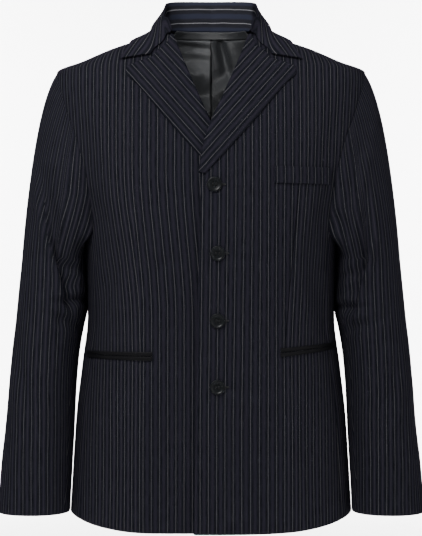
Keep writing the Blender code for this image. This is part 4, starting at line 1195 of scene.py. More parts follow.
# Folds of the lining, negative where they stand inwards; the left one shows as a soft dark fold
LEFT_LINING_FOLDS = troughs(
    (0.0230, -0.0560, 0.0110, -0.0100, -0.0060, 0.0060, 0.012, 0.5),
    (0.0080, -0.0900, 0.0420, -0.0700, 0.0040, 0.0090, 0.020, 0.5),
    (0.0060, -0.1150, 0.0300, -0.1200, -0.0030, 0.0080, 0.015, 0.4),
    (0.0400, -0.0300, 0.0460, -0.0900, 0.0030, 0.0100, 0.020, 0.4),
)
RIGHT_LINING_FOLDS = troughs(
    (0.0440, -0.0230, 0.0060, -0.0270, -0.0036, 0.0045, 0.012, 0.4),
    (0.0400, -0.0560, 0.0100, -0.0640, 0.0050, 0.0110, 0.020, 0.5),
    (0.0300, -0.0980, 0.0060, -0.0920, -0.0050, 0.0120, 0.020, 0.4),
    (0.0160, -0.1280, 0.0040, -0.1180, 0.0035, 0.0080, 0.015, 0.4),
)


@dataclass
class Band:
    """A narrow piece that lies on a front, between two lower corners (across, up)."""

    inner: tuple[float, float]
    outer: tuple[float, float]
    height: tuple[float, float]
    off: float
    thickness: float
    soft_edge: float
    body: BodyForm = BODY
    rows: int = 14
    columns: int = 40

    def cloth(self) -> Cloth:
        """The band, its height going evenly from the inner end's to the outer end's."""
        across = spread(self.columns, 0.0012 / abs(self.outer[0] - self.inner[0]))
        up = spread(self.rows, self.soft_edge)
        x = self.inner[0] + (self.outer[0] - self.inner[0]) * across
        foot = self.inner[1] + (self.outer[1] - self.inner[1]) * across
        tall = self.height[0] + (self.height[1] - self.height[0]) * across
        z = foot[None, :] + tall[None, :] * up[:, None]
        grid = self.body.front(np.broadcast_to(x, z.shape), z, self.off)
        ends = edge_share(across, 0.0012 / abs(self.outer[0] - self.inner[0]))
        outline = self.body.outline(foot)
        round_body = outline.run_at_x(x) - outline.run_at_x(np.zeros(len(x)))
        flat = np.stack((np.broadcast_to(round_body, z.shape), z), axis=-1)
        return Cloth(grid, self.body.normals(grid), flat, self.thickness,
                     rows_full=edge_share(up, self.soft_edge), columns_full=ends)


WELT_THICK, JET_THICK, CURVE_ROOM = 0.0016, 0.0014, 0.0007
WELT = Band((0.0850, -0.2368), (0.1635, -0.2372), (0.0232, 0.0232),
            CLOTH / 2 + SEAM + WELT_THICK / 2 + CURVE_ROOM, WELT_THICK, 0.05)
JET_SLOT, JET_TAPER = 0.0008, 0.75


def jets(inner: tuple[float, float], outer: tuple[float, float], height: float) -> dict[str, Band]:
    """The lower and the upper satin jet of one hip pocket, with the slot between them."""
    jet = (height - JET_SLOT) / 2
    off = CLOTH / 2 + SEAM + JET_THICK / 2 + CURVE_ROOM
    lifts = {"lower": 0.0, "upper": jet + JET_SLOT}
    return {word: Band((inner[0], inner[1] + lift), (outer[0], outer[1] + lift * JET_TAPER),
                       (jet, jet * JET_TAPER), off, JET_THICK, 0.30, rows=8)
            for word, lift in lifts.items()}


HIP_POCKETS = {
    Side.LEFT: jets((0.0940, -0.4735), (0.1720, -0.4650), 0.0120),
    Side.RIGHT: jets((0.0795, -0.4785), (0.1720, -0.4765), 0.0120),
}


def tube(path: Array, radius: float, sides: int = 8, closed: bool = False) -> tuple[Array, Array]:
    """A round tube along a path: p + r (u cos t + v sin t), u and v square to the path.

    Args:
        path: Points in order, (n, 3).
        radius: The tube's radius.
        sides: Faces round it.
        closed: Whether the last point joins the first.

    Returns:
        Its points and its quads; open ends close to a small ring.
    """
    if closed:
        way = np.roll(path, -1, axis=0) - np.roll(path, 1, axis=0)
    else:
        way = np.gradient(path, axis=0)
    way /= np.linalg.norm(way, axis=1, keepdims=True)
    ahead = np.array((0.0, -1.0, 0.0))
    u = np.cross(way, ahead)
    u /= np.linalg.norm(u, axis=1, keepdims=True)
    v = np.cross(way, u)
    turn = np.linspace(0.0, 2 * np.pi, sides, endpoint=False)
    size = np.full(len(path), radius)
    if not closed:
        size[[0, -1]] *= 0.05
        size[[1, -2]] *= 0.8
    ring = u[:, None] * np.cos(turn)[None, :, None] + v[:, None] * np.sin(turn)[None, :, None]
    points = (path[:, None] + ring * size[:, None, None]).reshape(-1, 3)
    index = np.arange(len(path) * sides).reshape(len(path), sides)
    index = np.concatenate((index, index[:, :1]), axis=1)
    if closed:
        index = np.concatenate((index, index[:1]), axis=0)
    return points, quads(index)[:, ::-1]


@dataclass
class Button:
    """A four-hole button on the front: turned, dished, with a raised rim, and its thread."""

    x: float
    z: float
    body: BodyForm = BODY
    seat: float = CLOTH / 2 + SEAM + 0.0004
    profile: tuple = ((0.00, 0.0004, 0.0000), (0.16, 0.0078, 0.0000), (0.22, 0.0092, 0.0004),
                      (0.30, 0.0100, 0.0013), (0.36, 0.0100, 0.0022), (0.44, 0.0095, 0.0030),
                      (0.52, 0.0086, 0.0032), (0.60, 0.0078, 0.0029), (0.70, 0.0064, 0.0023),
                      (0.84, 0.0036, 0.0020), (1.00, 0.0001, 0.0020))
    hole_off: float = 0.0021
    hole_radius: float = 0.0012
    rings: int = 72
    sides: int = 72

    def frame(self) -> tuple[Array, Array, Array, Array]:
        """The middle of the button's back, and the unit ways ahead, sideways and up."""
        base = self.body.front(self.x, self.z, self.seat)
        ahead = self.body.normals(base)
        side = np.cross((0.0, 0.0, 1.0), ahead)
        side /= np.linalg.norm(side)
        return base, ahead, side, np.cross(ahead, side)

    def holes(self) -> Array:
        """The four holes' middles, sideways and up."""
        return self.hole_off * np.array(((1.0, 1.0), (-1.0, 1.0), (-1.0, -1.0), (1.0, -1.0)))

    def build(self, name: str) -> bpy.types.Object:
        """The turned body, each hole a pit 1.5 mm deep with a steep soft wall."""
        s = np.linspace(0.0, 1.0, self.rings)
        radius, rise = along(self.profile, s, 1), along(self.profile, s, 2)
        turn = np.linspace(0.0, 2 * np.pi, self.sides, endpoint=False)
        a, b = radius[:, None] * np.cos(turn), radius[:, None] * np.sin(turn)
        nearest = np.min([np.hypot(a - p, b - q) for p, q in self.holes()], axis=0)
        pit = 0.0015 * (1.0 - smoothstep(self.hole_radius * 0.75, self.hole_radius * 1.1, nearest))
        h = rise[:, None] - pit * (s > 0.6)[:, None]
        base, ahead, side, up = self.frame()
        points = base + a[..., None] * side + b[..., None] * up + h[..., None] * ahead
        index = np.arange(points.size // 3).reshape(a.shape)
        index = np.concatenate((index, index[:, :1]), axis=1)
        return put_mesh(name, points.reshape(-1, 3), quads(index))

    def thread(self, name: str) -> bpy.types.Object:
        """Two stitches through the holes, one each side of the middle, lying in the dish."""
        base, ahead, side, up = self.frame()
        arc = np.linspace(0.0, np.pi, 15)
        paths = []
        for sign in (-1.0, 1.0):
            for shift in (-0.0003, 0.0003):
                a = sign * self.hole_off + shift
                paths.append(base + a * side + (self.hole_off * np.cos(arc))[:, None] * up
                             + (0.0012 + 0.0013 * np.sin(arc) ** 0.6)[:, None] * ahead)
        return put_mesh(name, *join_parts([tube(path, 0.00027) for path in paths]))


def join_parts(parts: Sequence[tuple[Array, Array]]) -> tuple[Array, Array]:
    """Several points-and-quads pairs as one."""
    starts = np.cumsum([0] + [len(points) for points, _ in parts[:-1]])
    return (np.concatenate([points for points, _ in parts]),
            np.concatenate([faces + start for (_, faces), start in zip(parts, starts)]))


@dataclass
class Buttonhole:
    """A worked buttonhole: an oval of thread, flat on the front; the front isn't cut under it."""

    x: float
    z: float
    body: BodyForm = BODY
    half_length: float = 0.0130
    half_height: float = 0.0010
    radius: float = 0.00050
    shift: float = 0.0022

    def build(self, name: str) -> bpy.types.Object:
        """A round tube along a flat oval."""
        turn = np.linspace(0.0, 2 * np.pi, 160, endpoint=False)
        x = self.x + self.shift + self.half_length * squared_off(np.cos(turn), 0.75)
        z = self.z + self.half_height * squared_off(np.sin(turn), 0.5)
        path = self.body.front(x, z, CLOTH / 2 + 0.0001)
        return put_mesh(name, *tube(path, self.radius, closed=True))


# Buttons: distance from the middle and height, top to bottom
BUTTONS = (Button(0.0047, -0.2390), Button(0.0088, -0.3320), Button(0.0088, -0.4235),
           Button(0.0088, -0.5137))


@dataclass
class Nodes:
    """Short ways to add nodes and links to one tree."""

    tree: bpy.types.NodeTree

    def add(self, kind: str, **settings: object) -> bpy.types.Node:
        """A new node, with its own settings."""
        node = self.tree.nodes.new(kind)
        for key, value in settings.items():
            setattr(node, key, value)
        return node

    def math(self, operation: str, first: object, second: object = 0.0) -> bpy.types.NodeSocket:
        """A Math node's result; each operand is a number or a socket."""
        node = self.add("ShaderNodeMath", operation=operation)
        for socket, value in zip(node.inputs, (first, second)):
            self.feed(socket, value)
        return node.outputs[0]

    def times(self, first: object, second: object) -> bpy.types.NodeSocket:
        """Two numbers or sockets multiplied."""
        return self.math("MULTIPLY", first, second)

    def plus(self, first: object, second: object) -> bpy.types.NodeSocket:
        """Two numbers or sockets added."""
        return self.math("ADD", first, second)

    def split(self, vector: object) -> tuple[bpy.types.NodeSocket, ...]:
        """A vector's x, y and z."""
        node = self.add("ShaderNodeSeparateXYZ")
        self.feed(node.inputs[0], vector)
        return tuple(node.outputs)

    def bump(self, height: object, strength: float, distance: float) -> bpy.types.NodeSocket:
        """The normal of a surface raised by a height times a distance in metres."""
        node = self.add("ShaderNodeBump")
        for label, value in (("Strength", strength), ("Distance", distance), ("Height", height)):
            self.feed(node.inputs[label], value)
        return node.outputs[0]

    def feed(self, socket: bpy.types.NodeSocket, value: object) -> None:
        """Link a socket to an input, or set its number."""
        if isinstance(value, bpy.types.NodeSocket):
            self.tree.links.new(value, socket)
        else:
            socket.default_value = value

    def ramp(self, value: object, low: float, high: float, to_low: float,
             to_high: float) -> bpy.types.NodeSocket:
        """A smooth step of a value from one range to another."""
        node = self.add("ShaderNodeMapRange", interpolation_type="SMOOTHSTEP")
        for socket, number in zip(node.inputs, (value, low, high, to_low, to_high)):
            self.feed(socket, number)
        return node.outputs[0]

    def noise(self, vector: object, scale: float, detail: float = 2.0) -> bpy.types.NodeSocket:
        """Noise from 0 to 1 at a scale, in waves a metre."""
        node = self.add("ShaderNodeTexNoise")
        self.feed(node.inputs["Vector"], vector)
        node.inputs["Scale"].default_value = scale
        node.inputs["Detail"].default_value = detail
        return node.outputs["Fac"]

    def mix(self, share: object, first: object, second: object) -> bpy.types.NodeSocket:
        """Two colours mixed."""
        node = self.add("ShaderNodeMix", data_type="RGBA")
        self.feed(node.inputs["Factor"], share)
        self.feed(node.inputs["A"], first)
        self.feed(node.inputs["B"], second)
        return node.outputs["Result"]


@dataclass
class StripeGroup:
    """Shared node group: the stripes' pins, bands and half-way lines, and the ground's texture."""

    pitch: float = 0.0112        # from pin to pin
    pin_half: float = 0.00034
    band_half: float = 0.00185
    yarn: float = 0.00070
    stitch: float = 0.0016       # length of one raised place along a pin
    wander: float = 0.0006       # how far a pin strays from its line, in all
    wander_scale: float = 60.0   # noise scales, in waves a metre
    wear_scale: float = 900.0
    fleck_scale: float = 820.0
    warp_scale: float = 800.0
    outputs: tuple = ("Pin", "Band", "Twill", "Fleck", "Warp", "Half")
    warp_stretch: float = 0.07   # a warp streak is 1/0.07 as long as it is wide

    def build(self) -> bpy.types.NodeTree:
        """Make the group.

        Its inputs are Vector and Offset, in metres.  Pin, Band and Half say where the pins, the
        wide bands midway between them and the fine lines in those are; Twill is a height, and
        Fleck and Warp are noise of the ground.

        Returns:
            The group.
        """
        group = bpy.data.node_groups.new("pinstripe", "ShaderNodeTree")
        for label, way, kind in (("Vector", "INPUT", "Vector"), ("Offset", "INPUT", "Float"),
                                 *((word, "OUTPUT", "Float") for word in self.outputs)):
            group.interface.new_socket(name=label, in_out=way, socket_type=f"NodeSocket{kind}")
        nodes = Nodes(group)
        into = nodes.add("NodeGroupInput")
        out = nodes.add("NodeGroupOutput")
        u, v, _ = nodes.split(into.outputs["Vector"])
        u = nodes.plus(u, into.outputs["Offset"])
        wobble = nodes.noise(into.outputs["Vector"], self.wander_scale)
        u = nodes.plus(u, nodes.times(nodes.math("SUBTRACT", wobble, 0.5), self.wander))
        pin_far = self.distance(nodes, u)
        band_far = self.distance(nodes, nodes.plus(u, self.pitch / 2))
        thread = nodes.math("SINE", nodes.times(v, 2 * math.pi / self.stitch))
        broken = nodes.ramp(thread, -0.9, 0.6, 0.55, 1.0)
        worn = nodes.ramp(nodes.noise(into.outputs["Vector"], self.wear_scale), 0.35, 0.65, 0.6, 1.0)
        pin = nodes.ramp(pin_far, self.pin_half * 0.55, self.pin_half * 1.45, 1.0, 0.0)
        pin = nodes.times(nodes.times(pin, broken), worn)
        band = nodes.ramp(band_far, self.band_half * 0.6, self.band_half * 1.5, 1.0, 0.0)
        half = nodes.ramp(band_far, self.pin_half * 0.55, self.pin_half * 1.45, 1.0, 0.0)
        half = nodes.times(half, broken)
        diagonal = nodes.plus(nodes.times(u, 2 * math.pi / self.yarn),
                              nodes.times(v, 2 * math.pi / self.yarn * 0.7))
        cross = nodes.math("SINE", nodes.times(v, 2 * math.pi / (self.yarn * 0.8)))
        twill = nodes.plus(nodes.math("SINE", diagonal), nodes.times(cross, 0.3))
        grain = nodes.noise(into.outputs["Vector"], self.fleck_scale, 1.0)
        fleck = nodes.ramp(grain, 0.34, 0.66, 0.0, 1.0)
        long = nodes.add("ShaderNodeVectorMath", operation="MULTIPLY")
        group.links.new(into.outputs["Vector"], long.inputs[0])
        long.inputs[1].default_value = (1.0, self.warp_stretch, 1.0)
        warp = nodes.ramp(nodes.noise(long.outputs[0], self.warp_scale, 1.0), 0.36, 0.64, 0.0, 1.0)
        for label, value in zip(self.outputs, (pin, band, twill, fleck, warp, half)):
            group.links.new(value, out.inputs[label])
        return group

    def distance(self, nodes: Nodes, u: object) -> bpy.types.NodeSocket:
        """How far a place is from the nearest line of the pitch."""
        turn = nodes.math("FRACT", nodes.math("DIVIDE", u, self.pitch))
        half = nodes.math("ABSOLUTE", nodes.math("SUBTRACT", turn, 0.5))
        return nodes.times(nodes.math("SUBTRACT", 0.5, half), self.pitch)


@dataclass
class Finishes:
    """Every procedural finish of the blazer; the wool is made once for each stripe offset."""

    ground: tuple = (0.0053, 0.0057, 0.0080, 1.0)
    fleck: tuple = (0.0130, 0.0132, 0.0178, 1.0)
    band: tuple = (0.0188, 0.0170, 0.0254, 1.0)
    pin: tuple = (0.1120, 0.1060, 0.1140, 1.0)
    lining: tuple = (0.075, 0.079, 0.086)
    # Dark line: on the fronts it is the dart's seam; on the sleeves it is painted shade in the
    # crease.
    dart_seam_and_crease_shade: tuple = (0.0030, 0.0030, 0.0038, 1.0)
    lining_seam: tuple = (0.006, 0.006, 0.007, 1.0)
    # Painted light: paler ground, bands and pins for the middle of the collar stand's inner face, the
    # same wool as if lit.
    stand_ground_painted_light: tuple = (0.095, 0.096, 0.115, 1.0)
    stand_band_painted_light: tuple = (0.030, 0.033, 0.052, 1.0)
    stand_pin_painted_light: tuple = (0.300, 0.295, 0.320, 1.0)
    rib: float = 0.0005          # width of one rib of the satin
    shut: float = 0.0111         # a dart's dark line ends where its stripes are moved this far
    half_past: float = 0.22      # how strongly the half-way lines show beyond a dart or crease

    def __post_init__(self) -> None:
        """Build the shared groups and the plain finishes."""
        self.stripes = StripeGroup().build()
        # Painted light and shade: the lining halves are one satin at 0.52 of its colour on the left
        # and 0.78 on the right, their shine 0.75 times that share, and the facing is the same satin
        # at half its colour.
        self.satin = {side: self.smooth(f"lining_satin_{side.word}",
                                        tuple(share * c for c in self.lining) + (1.0,), 0.33, 0.0011,
                                        0.75 * share, seam=True)
                      for side, share in ((Side.LEFT, 0.52), (Side.RIGHT, 0.78))}
        self.facing = self.smooth("facing_satin_painted_shade", tuple(0.50 * c for c in self.lining) + (1.0,),
                                  0.33, 0.0011, 0.5)
        self.jet = self.smooth("jet_satin", (0.0040, 0.0040, 0.0048, 1.0), 0.50, 0.00006, 0.08)
        self.horn = self.polished("button_horn", (0.0018, 0.0025, 0.0033, 1.0))
        self.thread = self.yarn_finish("thread", (0.0030, 0.0030, 0.0036, 1.0))

    def start(self, name: str) -> tuple[bpy.types.Material, Nodes, bpy.types.Node]:
        """A new material, its nodes and its shader."""
        material = bpy.data.materials.new(name)
        material.use_nodes = True
        return material, Nodes(material.node_tree), material.node_tree.nodes["Principled BSDF"]

    def gloss(self, shader: bpy.types.Node, roughness: float, shine: float) -> None:
        """Set how rough a surface is and how strongly it shines."""
        shader.inputs["Roughness"].default_value = roughness
        shader.inputs["Specular IOR Level"].default_value = shine

    def wool(self, name: str, offset: float = 0.0, bright: float = 1.0,
             dart: bool = False, stand: bool = False, half: float = 0.04) -> bpy.types.Material:
        """The pinstriped suiting, its stripes moved across by an offset.

        Args:
            name: The material's name.
            offset: Metres to add across before the stripes are drawn.
            bright: How strongly the stripes stand out, 1 as on the fronts.
            dart: Whether the piece has a dart or a long crease, on its UV map "dart"; a thin dark
                line runs along it, the seam of a dart, and painted shade along a crease.
            stand: Whether painted light makes the cloth paler where its across is below 0, as on a
                collar stand.
            half: How strongly the lines midway between the pins show.

        Returns:
            The material.
        """
        material, nodes, shader = self.start(name)
        cloth = nodes.add("ShaderNodeUVMap", uv_map="cloth")
        group = nodes.add("ShaderNodeGroup", node_tree=self.stripes)
        nodes.feed(group.inputs["Vector"], cloth.outputs[0])
        group.inputs["Offset"].default_value = offset
        seam = 0.0
        between = half
        if dart:
            beyond, moved, _ = nodes.split(nodes.add("ShaderNodeUVMap", uv_map="dart").outputs[0])
            past = nodes.math("GREATER_THAN", beyond, 0.0)
            between = nodes.math("MAXIMUM", half, nodes.times(past, self.half_past))
            shift = nodes.plus(nodes.times(past, moved), offset)
            nodes.feed(group.inputs["Offset"], shift)
            # The thin dark line: on a front it is the dart's seam; on a sleeve, whose "dart" map
            # holds a crease, it is painted crease shade.
            near = nodes.ramp(nodes.math("ABSOLUTE", beyond), 0.0002, 0.0008, 0.8, 0.0)
            open_there = nodes.ramp(moved, 1e-5, 0.0004, 0.0, 1.0)
            shut_below = nodes.math("LESS_THAN", moved, self.shut)
            seam = nodes.times(near, nodes.times(open_there, shut_below))
        speck = nodes.plus(nodes.times(group.outputs["Fleck"], 0.45),
                           nodes.times(group.outputs["Warp"], 0.55))
        tint = nodes.mix(speck, self.ground, self.fleck)
        tint = nodes.mix(nodes.times(group.outputs["Band"], 0.62 * bright), tint, self.band)
        tint = nodes.mix(nodes.times(group.outputs["Half"], between), tint, self.pin)
        tint = nodes.mix(nodes.times(group.outputs["Pin"], 0.80 * bright), tint, self.pin)
        # Dark line: the dart's seam on a front, painted crease shade on a sleeve.
        tint = nodes.mix(seam, tint, self.dart_seam_and_crease_shade)
        # Painted light: round the back of the neck, the collar stand's inner face is mixed towards
        # paler ground, bands and pins, as if lit.
        if stand:
            across, round_neck, _ = nodes.split(cloth.outputs[0])
            inner = nodes.times(
                nodes.math("LESS_THAN", across, -0.0005),
                nodes.ramp(nodes.math("ABSOLUTE", round_neck), 0.085, 0.10, 1.0, 0.0))
            for share, colour in ((0.15, self.stand_ground_painted_light), (group.outputs["Band"], self.stand_band_painted_light),
                                  (group.outputs["Pin"], self.stand_pin_painted_light)):
                tint = nodes.mix(nodes.times(inner, share), tint, colour)
        nodes.feed(shader.inputs["Base Color"], tint)
        self.gloss(shader, 0.88, 0.0)
        shader.inputs["Sheen Weight"].default_value = 0.0
        nodes.feed(shader.inputs["Normal"], nodes.bump(group.outputs["Twill"], 0.55, 0.00010))
        return material

    def smooth(self, name: str, colour: tuple, roughness: float, relief: float,
               shine: float, seam: bool = False) -> bpy.types.Material:
        """Satin: fine ribs up the cloth over soft waves; with a seam it is dark at across 0.

        Args:
            name: The material's name.
            colour: Its colour.
            roughness: How rough it is.
            relief: The bump's distance in metres; the waves stand up to twice that.
            shine: How strongly it shines.
            seam: Whether a seam runs up the middle.

        Returns:
            The material.
        """
        material, nodes, shader = self.start(name)
        cloth = nodes.add("ShaderNodeUVMap", uv_map="cloth")
        across, up, _ = nodes.split(cloth.outputs[0])
        rib = nodes.math("SINE", nodes.times(up, 2 * math.pi / self.rib))
        soft = nodes.noise(cloth.outputs[0], 38.0)
        height = nodes.plus(nodes.times(rib, 0.12),
                            nodes.times(soft, 2.0))
        shader.inputs["Base Color"].default_value = colour
        if seam:
            near = nodes.ramp(nodes.math("ABSOLUTE", across), 0.0006, 0.0016, 0.92, 0.0)
            nodes.feed(shader.inputs["Base Color"], nodes.mix(near, colour, self.lining_seam))
        self.gloss(shader, roughness, shine)
        nodes.feed(shader.inputs["Normal"], nodes.bump(height, 0.6, relief))
        return material

    def polished(self, name: str, colour: tuple) -> bpy.types.Material:
        """Dark polished horn, with a faint cloud in its colour."""
        material, nodes, shader = self.start(name)
        place = nodes.add("ShaderNodeTexCoord")
        cloud = nodes.noise(place.outputs["Object"], 260.0, 3.0)
        lighter = tuple(2.2 * c for c in colour[:3]) + (1.0,)
        nodes.feed(shader.inputs["Base Color"], nodes.mix(nodes.ramp(cloud, 0.4, 0.7, 0.0, 0.6),
                                                          colour, lighter))
        self.gloss(shader, 0.32, 0.17)
        return material

    def yarn_finish(self, name: str, colour: tuple) -> bpy.types.Material:
        """Matt sewing thread."""
        material, nodes, shader = self.start(name)
        place = nodes.add("ShaderNodeTexCoord")
        ply = nodes.noise(place.outputs["Object"], 2500.0, 1.0)
        darker = tuple(0.5 * c for c in colour[:3]) + (1.0,)
        nodes.feed(shader.inputs["Base Color"], nodes.mix(ply, darker, colour))
        shader.inputs["Roughness"].default_value = 0.75
        return material


def on_side(cloth: Cloth, side: Side) -> Cloth:
    """Cloth that is drawn on the left, on its own side of the middle."""
    return cloth.mirrored() if side is Side.RIGHT else cloth


@dataclass
class Blazer:
    """The whole garment: puts every piece in the frame with its finish."""

    panels: Panels = field(default_factory=Panels)
    lapel: LapelForm = field(default_factory=LapelForm)
    collar: CollarForm = field(default_factory=CollarForm)
    lining: LiningForm = field(default_factory=LiningForm)
    finishes: Finishes = field(default_factory=Finishes)
    made: int = 0
    edge_lean: float = 0.012                             # slope of the stripes by the outer edge
    edge_lean_top: float = -0.26
    chest_lean: tuple[float, float] = (0.0125, 0.0035)   # the under front's, and more at the side
    chest_fade: tuple[float, float] = (-0.42, -0.215)

    def put(self, node: str, cloth: Cloth, material: bpy.types.Material) -> None:
        """Build one cloth piece in place of its CAD node.

        Its flat size is measured along its grid, and told as no less than LEAST_FLAT.

        Args:
            node: The CAD node that it stands for; the piece is named after it.
            cloth: The cloth.
            material: Its finish.
        """
        item = shell(f"cloth_{node}", cloth)
        item.data.materials.append(material)
        width, length, area = cloth.size()
        width, length = max(width, LEAST_FLAT), max(length, LEAST_FLAT)
        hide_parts(node)
        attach(item, "root")
        self.made += 1
        LOG.info("%s: %.3f x %.3f m, %.4f m2", node, width, length, area)

    def put_plain(self, item: bpy.types.Object, material: bpy.types.Material,
                  node: str | None = None) -> None:
        """Give a hard piece or a thread its finish and its place in the frame."""
        item.data.materials.append(material)
        if node:
            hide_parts(node)
        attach(item, "root")
        self.made += 1

    def build_shell(self) -> None:
        """Fronts, side bodies and backs, sewn to each other at the seams."""
        left = self.lean_left(self.panels.front(LEFT_FRONT_TROUGHS))
        right = self.panels.front(RIGHT_FRONT_TROUGHS)
        right = replace(self.lean_right(right), grid=self.panels.tuck(right.grid)).mirrored()
        side, back = self.panels.side(), self.panels.back()
        wool = self.finishes.wool
        self.put("front_left", left, wool("wool_front_left", dart=True))
        self.put("front_right", right, wool("wool_front_right", 0.0030, dart=True))
        for where in Side:
            word = where.word
            self.put(f"side_{word}", on_side(side, where),
                     wool(f"wool_side_{word}", 0.0040, half=0.18))
            self.put(f"back_{word}", on_side(back, where), wool(f"wool_back_{word}", 0.0056))

    def lean_left(self, cloth: Cloth) -> Cloth:
        """Lean the outer front's stripes beyond its dart, and a little with the edge inside it."""
        x, z = cloth.grid[..., 0], cloth.grid[..., 2]
        drop = np.clip(self.edge_lean_top - z, 0.0, 0.30)
        lean = self.edge_lean * drop * (1.0 - smoothstep(0.03, 0.09, x))
        return replace(cloth.moved(lean), dart=LEFT_DART.places(x, z))

    def lean_right(self, cloth: Cloth) -> Cloth:
        """Lean the under front's stripes towards the closure from chest to waist."""
        x, z = np.abs(cloth.grid[..., 0]), cloth.grid[..., 2]
        most = self.chest_lean[0] + self.chest_lean[1] * smoothstep(0.03, 0.13, x)
        shift = -most * smoothstep(*self.chest_fade, z)
        return replace(cloth.moved(shift), dart=RIGHT_DART.places(x, z))

    def build_sleeves(self) -> None:
        """A top sleeve and an under sleeve on each side."""
        for side, folds, crease in ((Side.LEFT, LEFT_FOLDS, LEFT_CREASE),
                                    (Side.RIGHT, RIGHT_FOLDS, RIGHT_CREASE)):
            form = SleeveForm(folds, crease)
            lap = LAP / SLEEVE_GIRTH
            first, last = UNDER_SLEEVE
            for word, start, end, columns in (("top", last - lap, 1.0 + first + lap, 108),
                                              ("under", first - lap, last + lap, 30)):
                node = f"sleeve_{word}_{side.word}"
                wool = self.finishes.wool(f"wool_{node}", 0.0028, 0.92, dart=True, half=0.14)
                self.put(node, on_side(form.part(start, end, columns), side), wool)

    def build_collar_and_lapels(self) -> None:
        """The two lapels turned back on the fronts, and the folded collar."""
        lapel = self.lapel.cloth()
        wool = self.finishes.wool
        self.put("lapel_left", lapel, wool("wool_lapel_left", 0.0020))
        tucked = replace(lapel, grid=self.panels.tuck(lapel.grid))
        self.put("lapel_right", tucked.mirrored(), wool("wool_lapel_right", 0.0020))
        self.put("collar", self.collar.cloth(), wool("wool_collar", 0.0077, 1.25, stand=True))

    def build_lining(self) -> None:
        """The satin lining and the facing that show inside the back."""
        for side, folds in ((Side.LEFT, LEFT_LINING_FOLDS), (Side.RIGHT, RIGHT_LINING_FOLDS)):
            self.put(f"lining_{side.word}", on_side(self.lining.half(folds), side),
                     self.finishes.satin[side])
        self.put("neck_facing", self.lining.facing(), self.finishes.facing)

    def build_pockets(self) -> None:
        """The breast welt and the satin jets of the two hip pockets."""
        self.put("breast_welt", WELT.cloth(), self.finishes.wool("wool_welt"))
        for side, bands in HIP_POCKETS.items():
            for word, band in bands.items():
                cloth = band.cloth()
                if side is Side.RIGHT:
                    cloth = replace(cloth, grid=self.panels.tuck(cloth.grid)).mirrored()
                self.put(f"jet_{word}_{side.word}", cloth, self.finishes.jet)

    def build_buttons(self) -> None:
        """The buttons, their thread, and the worked buttonholes behind them."""
        for k, button in enumerate(BUTTONS, start=1):
            self.put_plain(button.build(f"horn_button_{k}"), self.finishes.horn,
                           f"button_{k}")
            self.put_plain(button.thread(f"thread_{k}"), self.finishes.thread)
            hole = Buttonhole(button.x, button.z)
            self.put_plain(hole.build(f"buttonhole_{k}"), self.finishes.thread)

    def build(self) -> None:
        """Build every piece."""
        self.build_shell()
        self.build_sleeves()
        self.build_collar_and_lapels()
        self.build_lining()
        self.build_pockets()
        self.build_buttons()
        LOG.info("%d pieces", self.made)


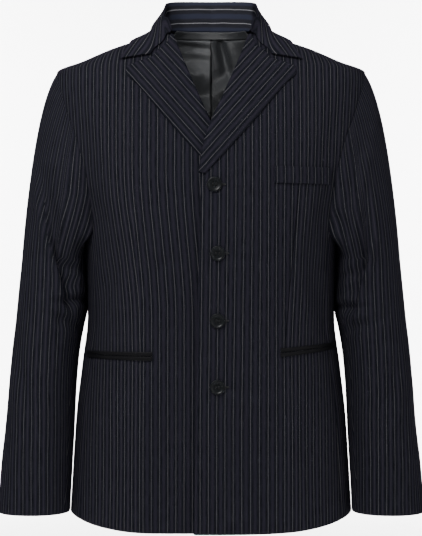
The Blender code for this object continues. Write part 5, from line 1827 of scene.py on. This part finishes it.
@dataclass
class Studio:
    """A pale floor and backdrop, soft lights and the camera at the photograph's place."""

    floor_z: float = -1.15
    wall_y: float = 5.2
    half_wide: float = 5.0
    near_y: float = -4.5
    bend: float = 1.0            # radius of the curve from the floor to the backdrop
    rise: float = 4.4            # height of the backdrop over the floor
    world: float = 0.56
    eye: tuple[float, float, float] = (0.0, -2.2, -0.352)
    lens: float = 103.3
    # Name, place, the point it is turned to, width and height, power in watts
    lamps: tuple = (
        ("key", (-0.65, -1.35, 0.95), (0.0, 0.0, -0.22), (0.8, 0.8), 37.0),
        ("fill", (1.9, -2.0, 0.3), (0.0, 0.0, -0.34), (1.6, 1.8), 13.0),
        ("top", (0.0, -0.3, 1.9), (0.0, 0.0, -0.34), (1.8, 1.2), 6.0),
        ("drop_left", (-2.4, 2.9, 0.8), (-0.4, 5.2, -0.4), (1.4, 1.8), 560.0),
        ("drop_right", (2.4, 2.9, 0.8), (0.4, 5.2, -0.4), (1.4, 1.8), 560.0),
    )

    def floor(self) -> None:
        """One pale sheet that curves up behind the coat."""
        turn = np.linspace(0.1, np.pi / 2, 14)
        foot = self.wall_y - self.bend
        y = np.concatenate((np.linspace(self.near_y, foot, 8), foot + self.bend * np.sin(turn),
                            np.full(4, self.wall_y)))
        z = self.floor_z + np.concatenate((np.zeros(8), self.bend * (1.0 - np.cos(turn)),
                                           np.linspace(1.4 * self.bend, self.rise, 4)))
        x = np.array((-self.half_wide, self.half_wide))
        points = np.stack((np.repeat(x[:, None], len(y), axis=1), np.repeat(y[None], 2, axis=0),
                           np.repeat(z[None], 2, axis=0)), axis=-1)
        index = np.arange(2 * len(y)).reshape(2, len(y))
        item = put_mesh("floor", points.reshape(-1, 3), quads(index)[:, ::-1])
        material = bpy.data.materials.new("pale_floor")
        material.use_nodes = True
        shader = material.node_tree.nodes["Principled BSDF"]
        shader.inputs["Base Color"].default_value = (0.92, 0.92, 0.92, 1.0)
        shader.inputs["Roughness"].default_value = 0.9
        item.data.materials.append(material)

    def light(self, name: str, place: tuple, aim: tuple, size: tuple, power: float) -> None:
        """One soft rectangular lamp.

        Args:
            name: Its name.
            place: Where it stands.
            aim: The point it is turned to.
            size: Its width and height.
            power: Its power in watts.
        """
        lamp = bpy.data.lights.new(name, "AREA")
        lamp.shape = "RECTANGLE"
        lamp.size, lamp.size_y = size
        lamp.energy = power
        item = bpy.data.objects.new(name, lamp)
        item.location = place
        way = np.array(aim) - np.array(place)
        item.rotation_euler = (math.acos(-way[2] / np.linalg.norm(way)), 0.0,
                               math.atan2(-way[0], way[1]))
        bpy.context.scene.collection.objects.link(item)

    def build(self) -> None:
        """Put the floor, the lights, the world and the camera in the scene."""
        self.floor()
        for lamp in self.lamps:
            self.light(*lamp)
        world = bpy.data.worlds.new("studio")
        world.use_nodes = True
        sky = world.node_tree.nodes["Background"]
        sky.inputs["Color"].default_value = (1.0, 1.0, 1.0, 1.0)
        sky.inputs["Strength"].default_value = self.world
        bpy.context.scene.world = world
        camera = bpy.data.cameras.new("camera")
        camera.lens = self.lens
        item = bpy.data.objects.new("camera", camera)
        item.location = self.eye
        item.rotation_euler = (math.pi / 2, 0.0, 0.0)
        bpy.context.scene.collection.objects.link(item)
        bpy.context.scene.camera = item


def main() -> None:
    """Build the blazer and its studio."""
    logging.basicConfig(level=logging.INFO)
    Blazer().build()
    Studio().build()


if __name__ == "__main__":
    main()
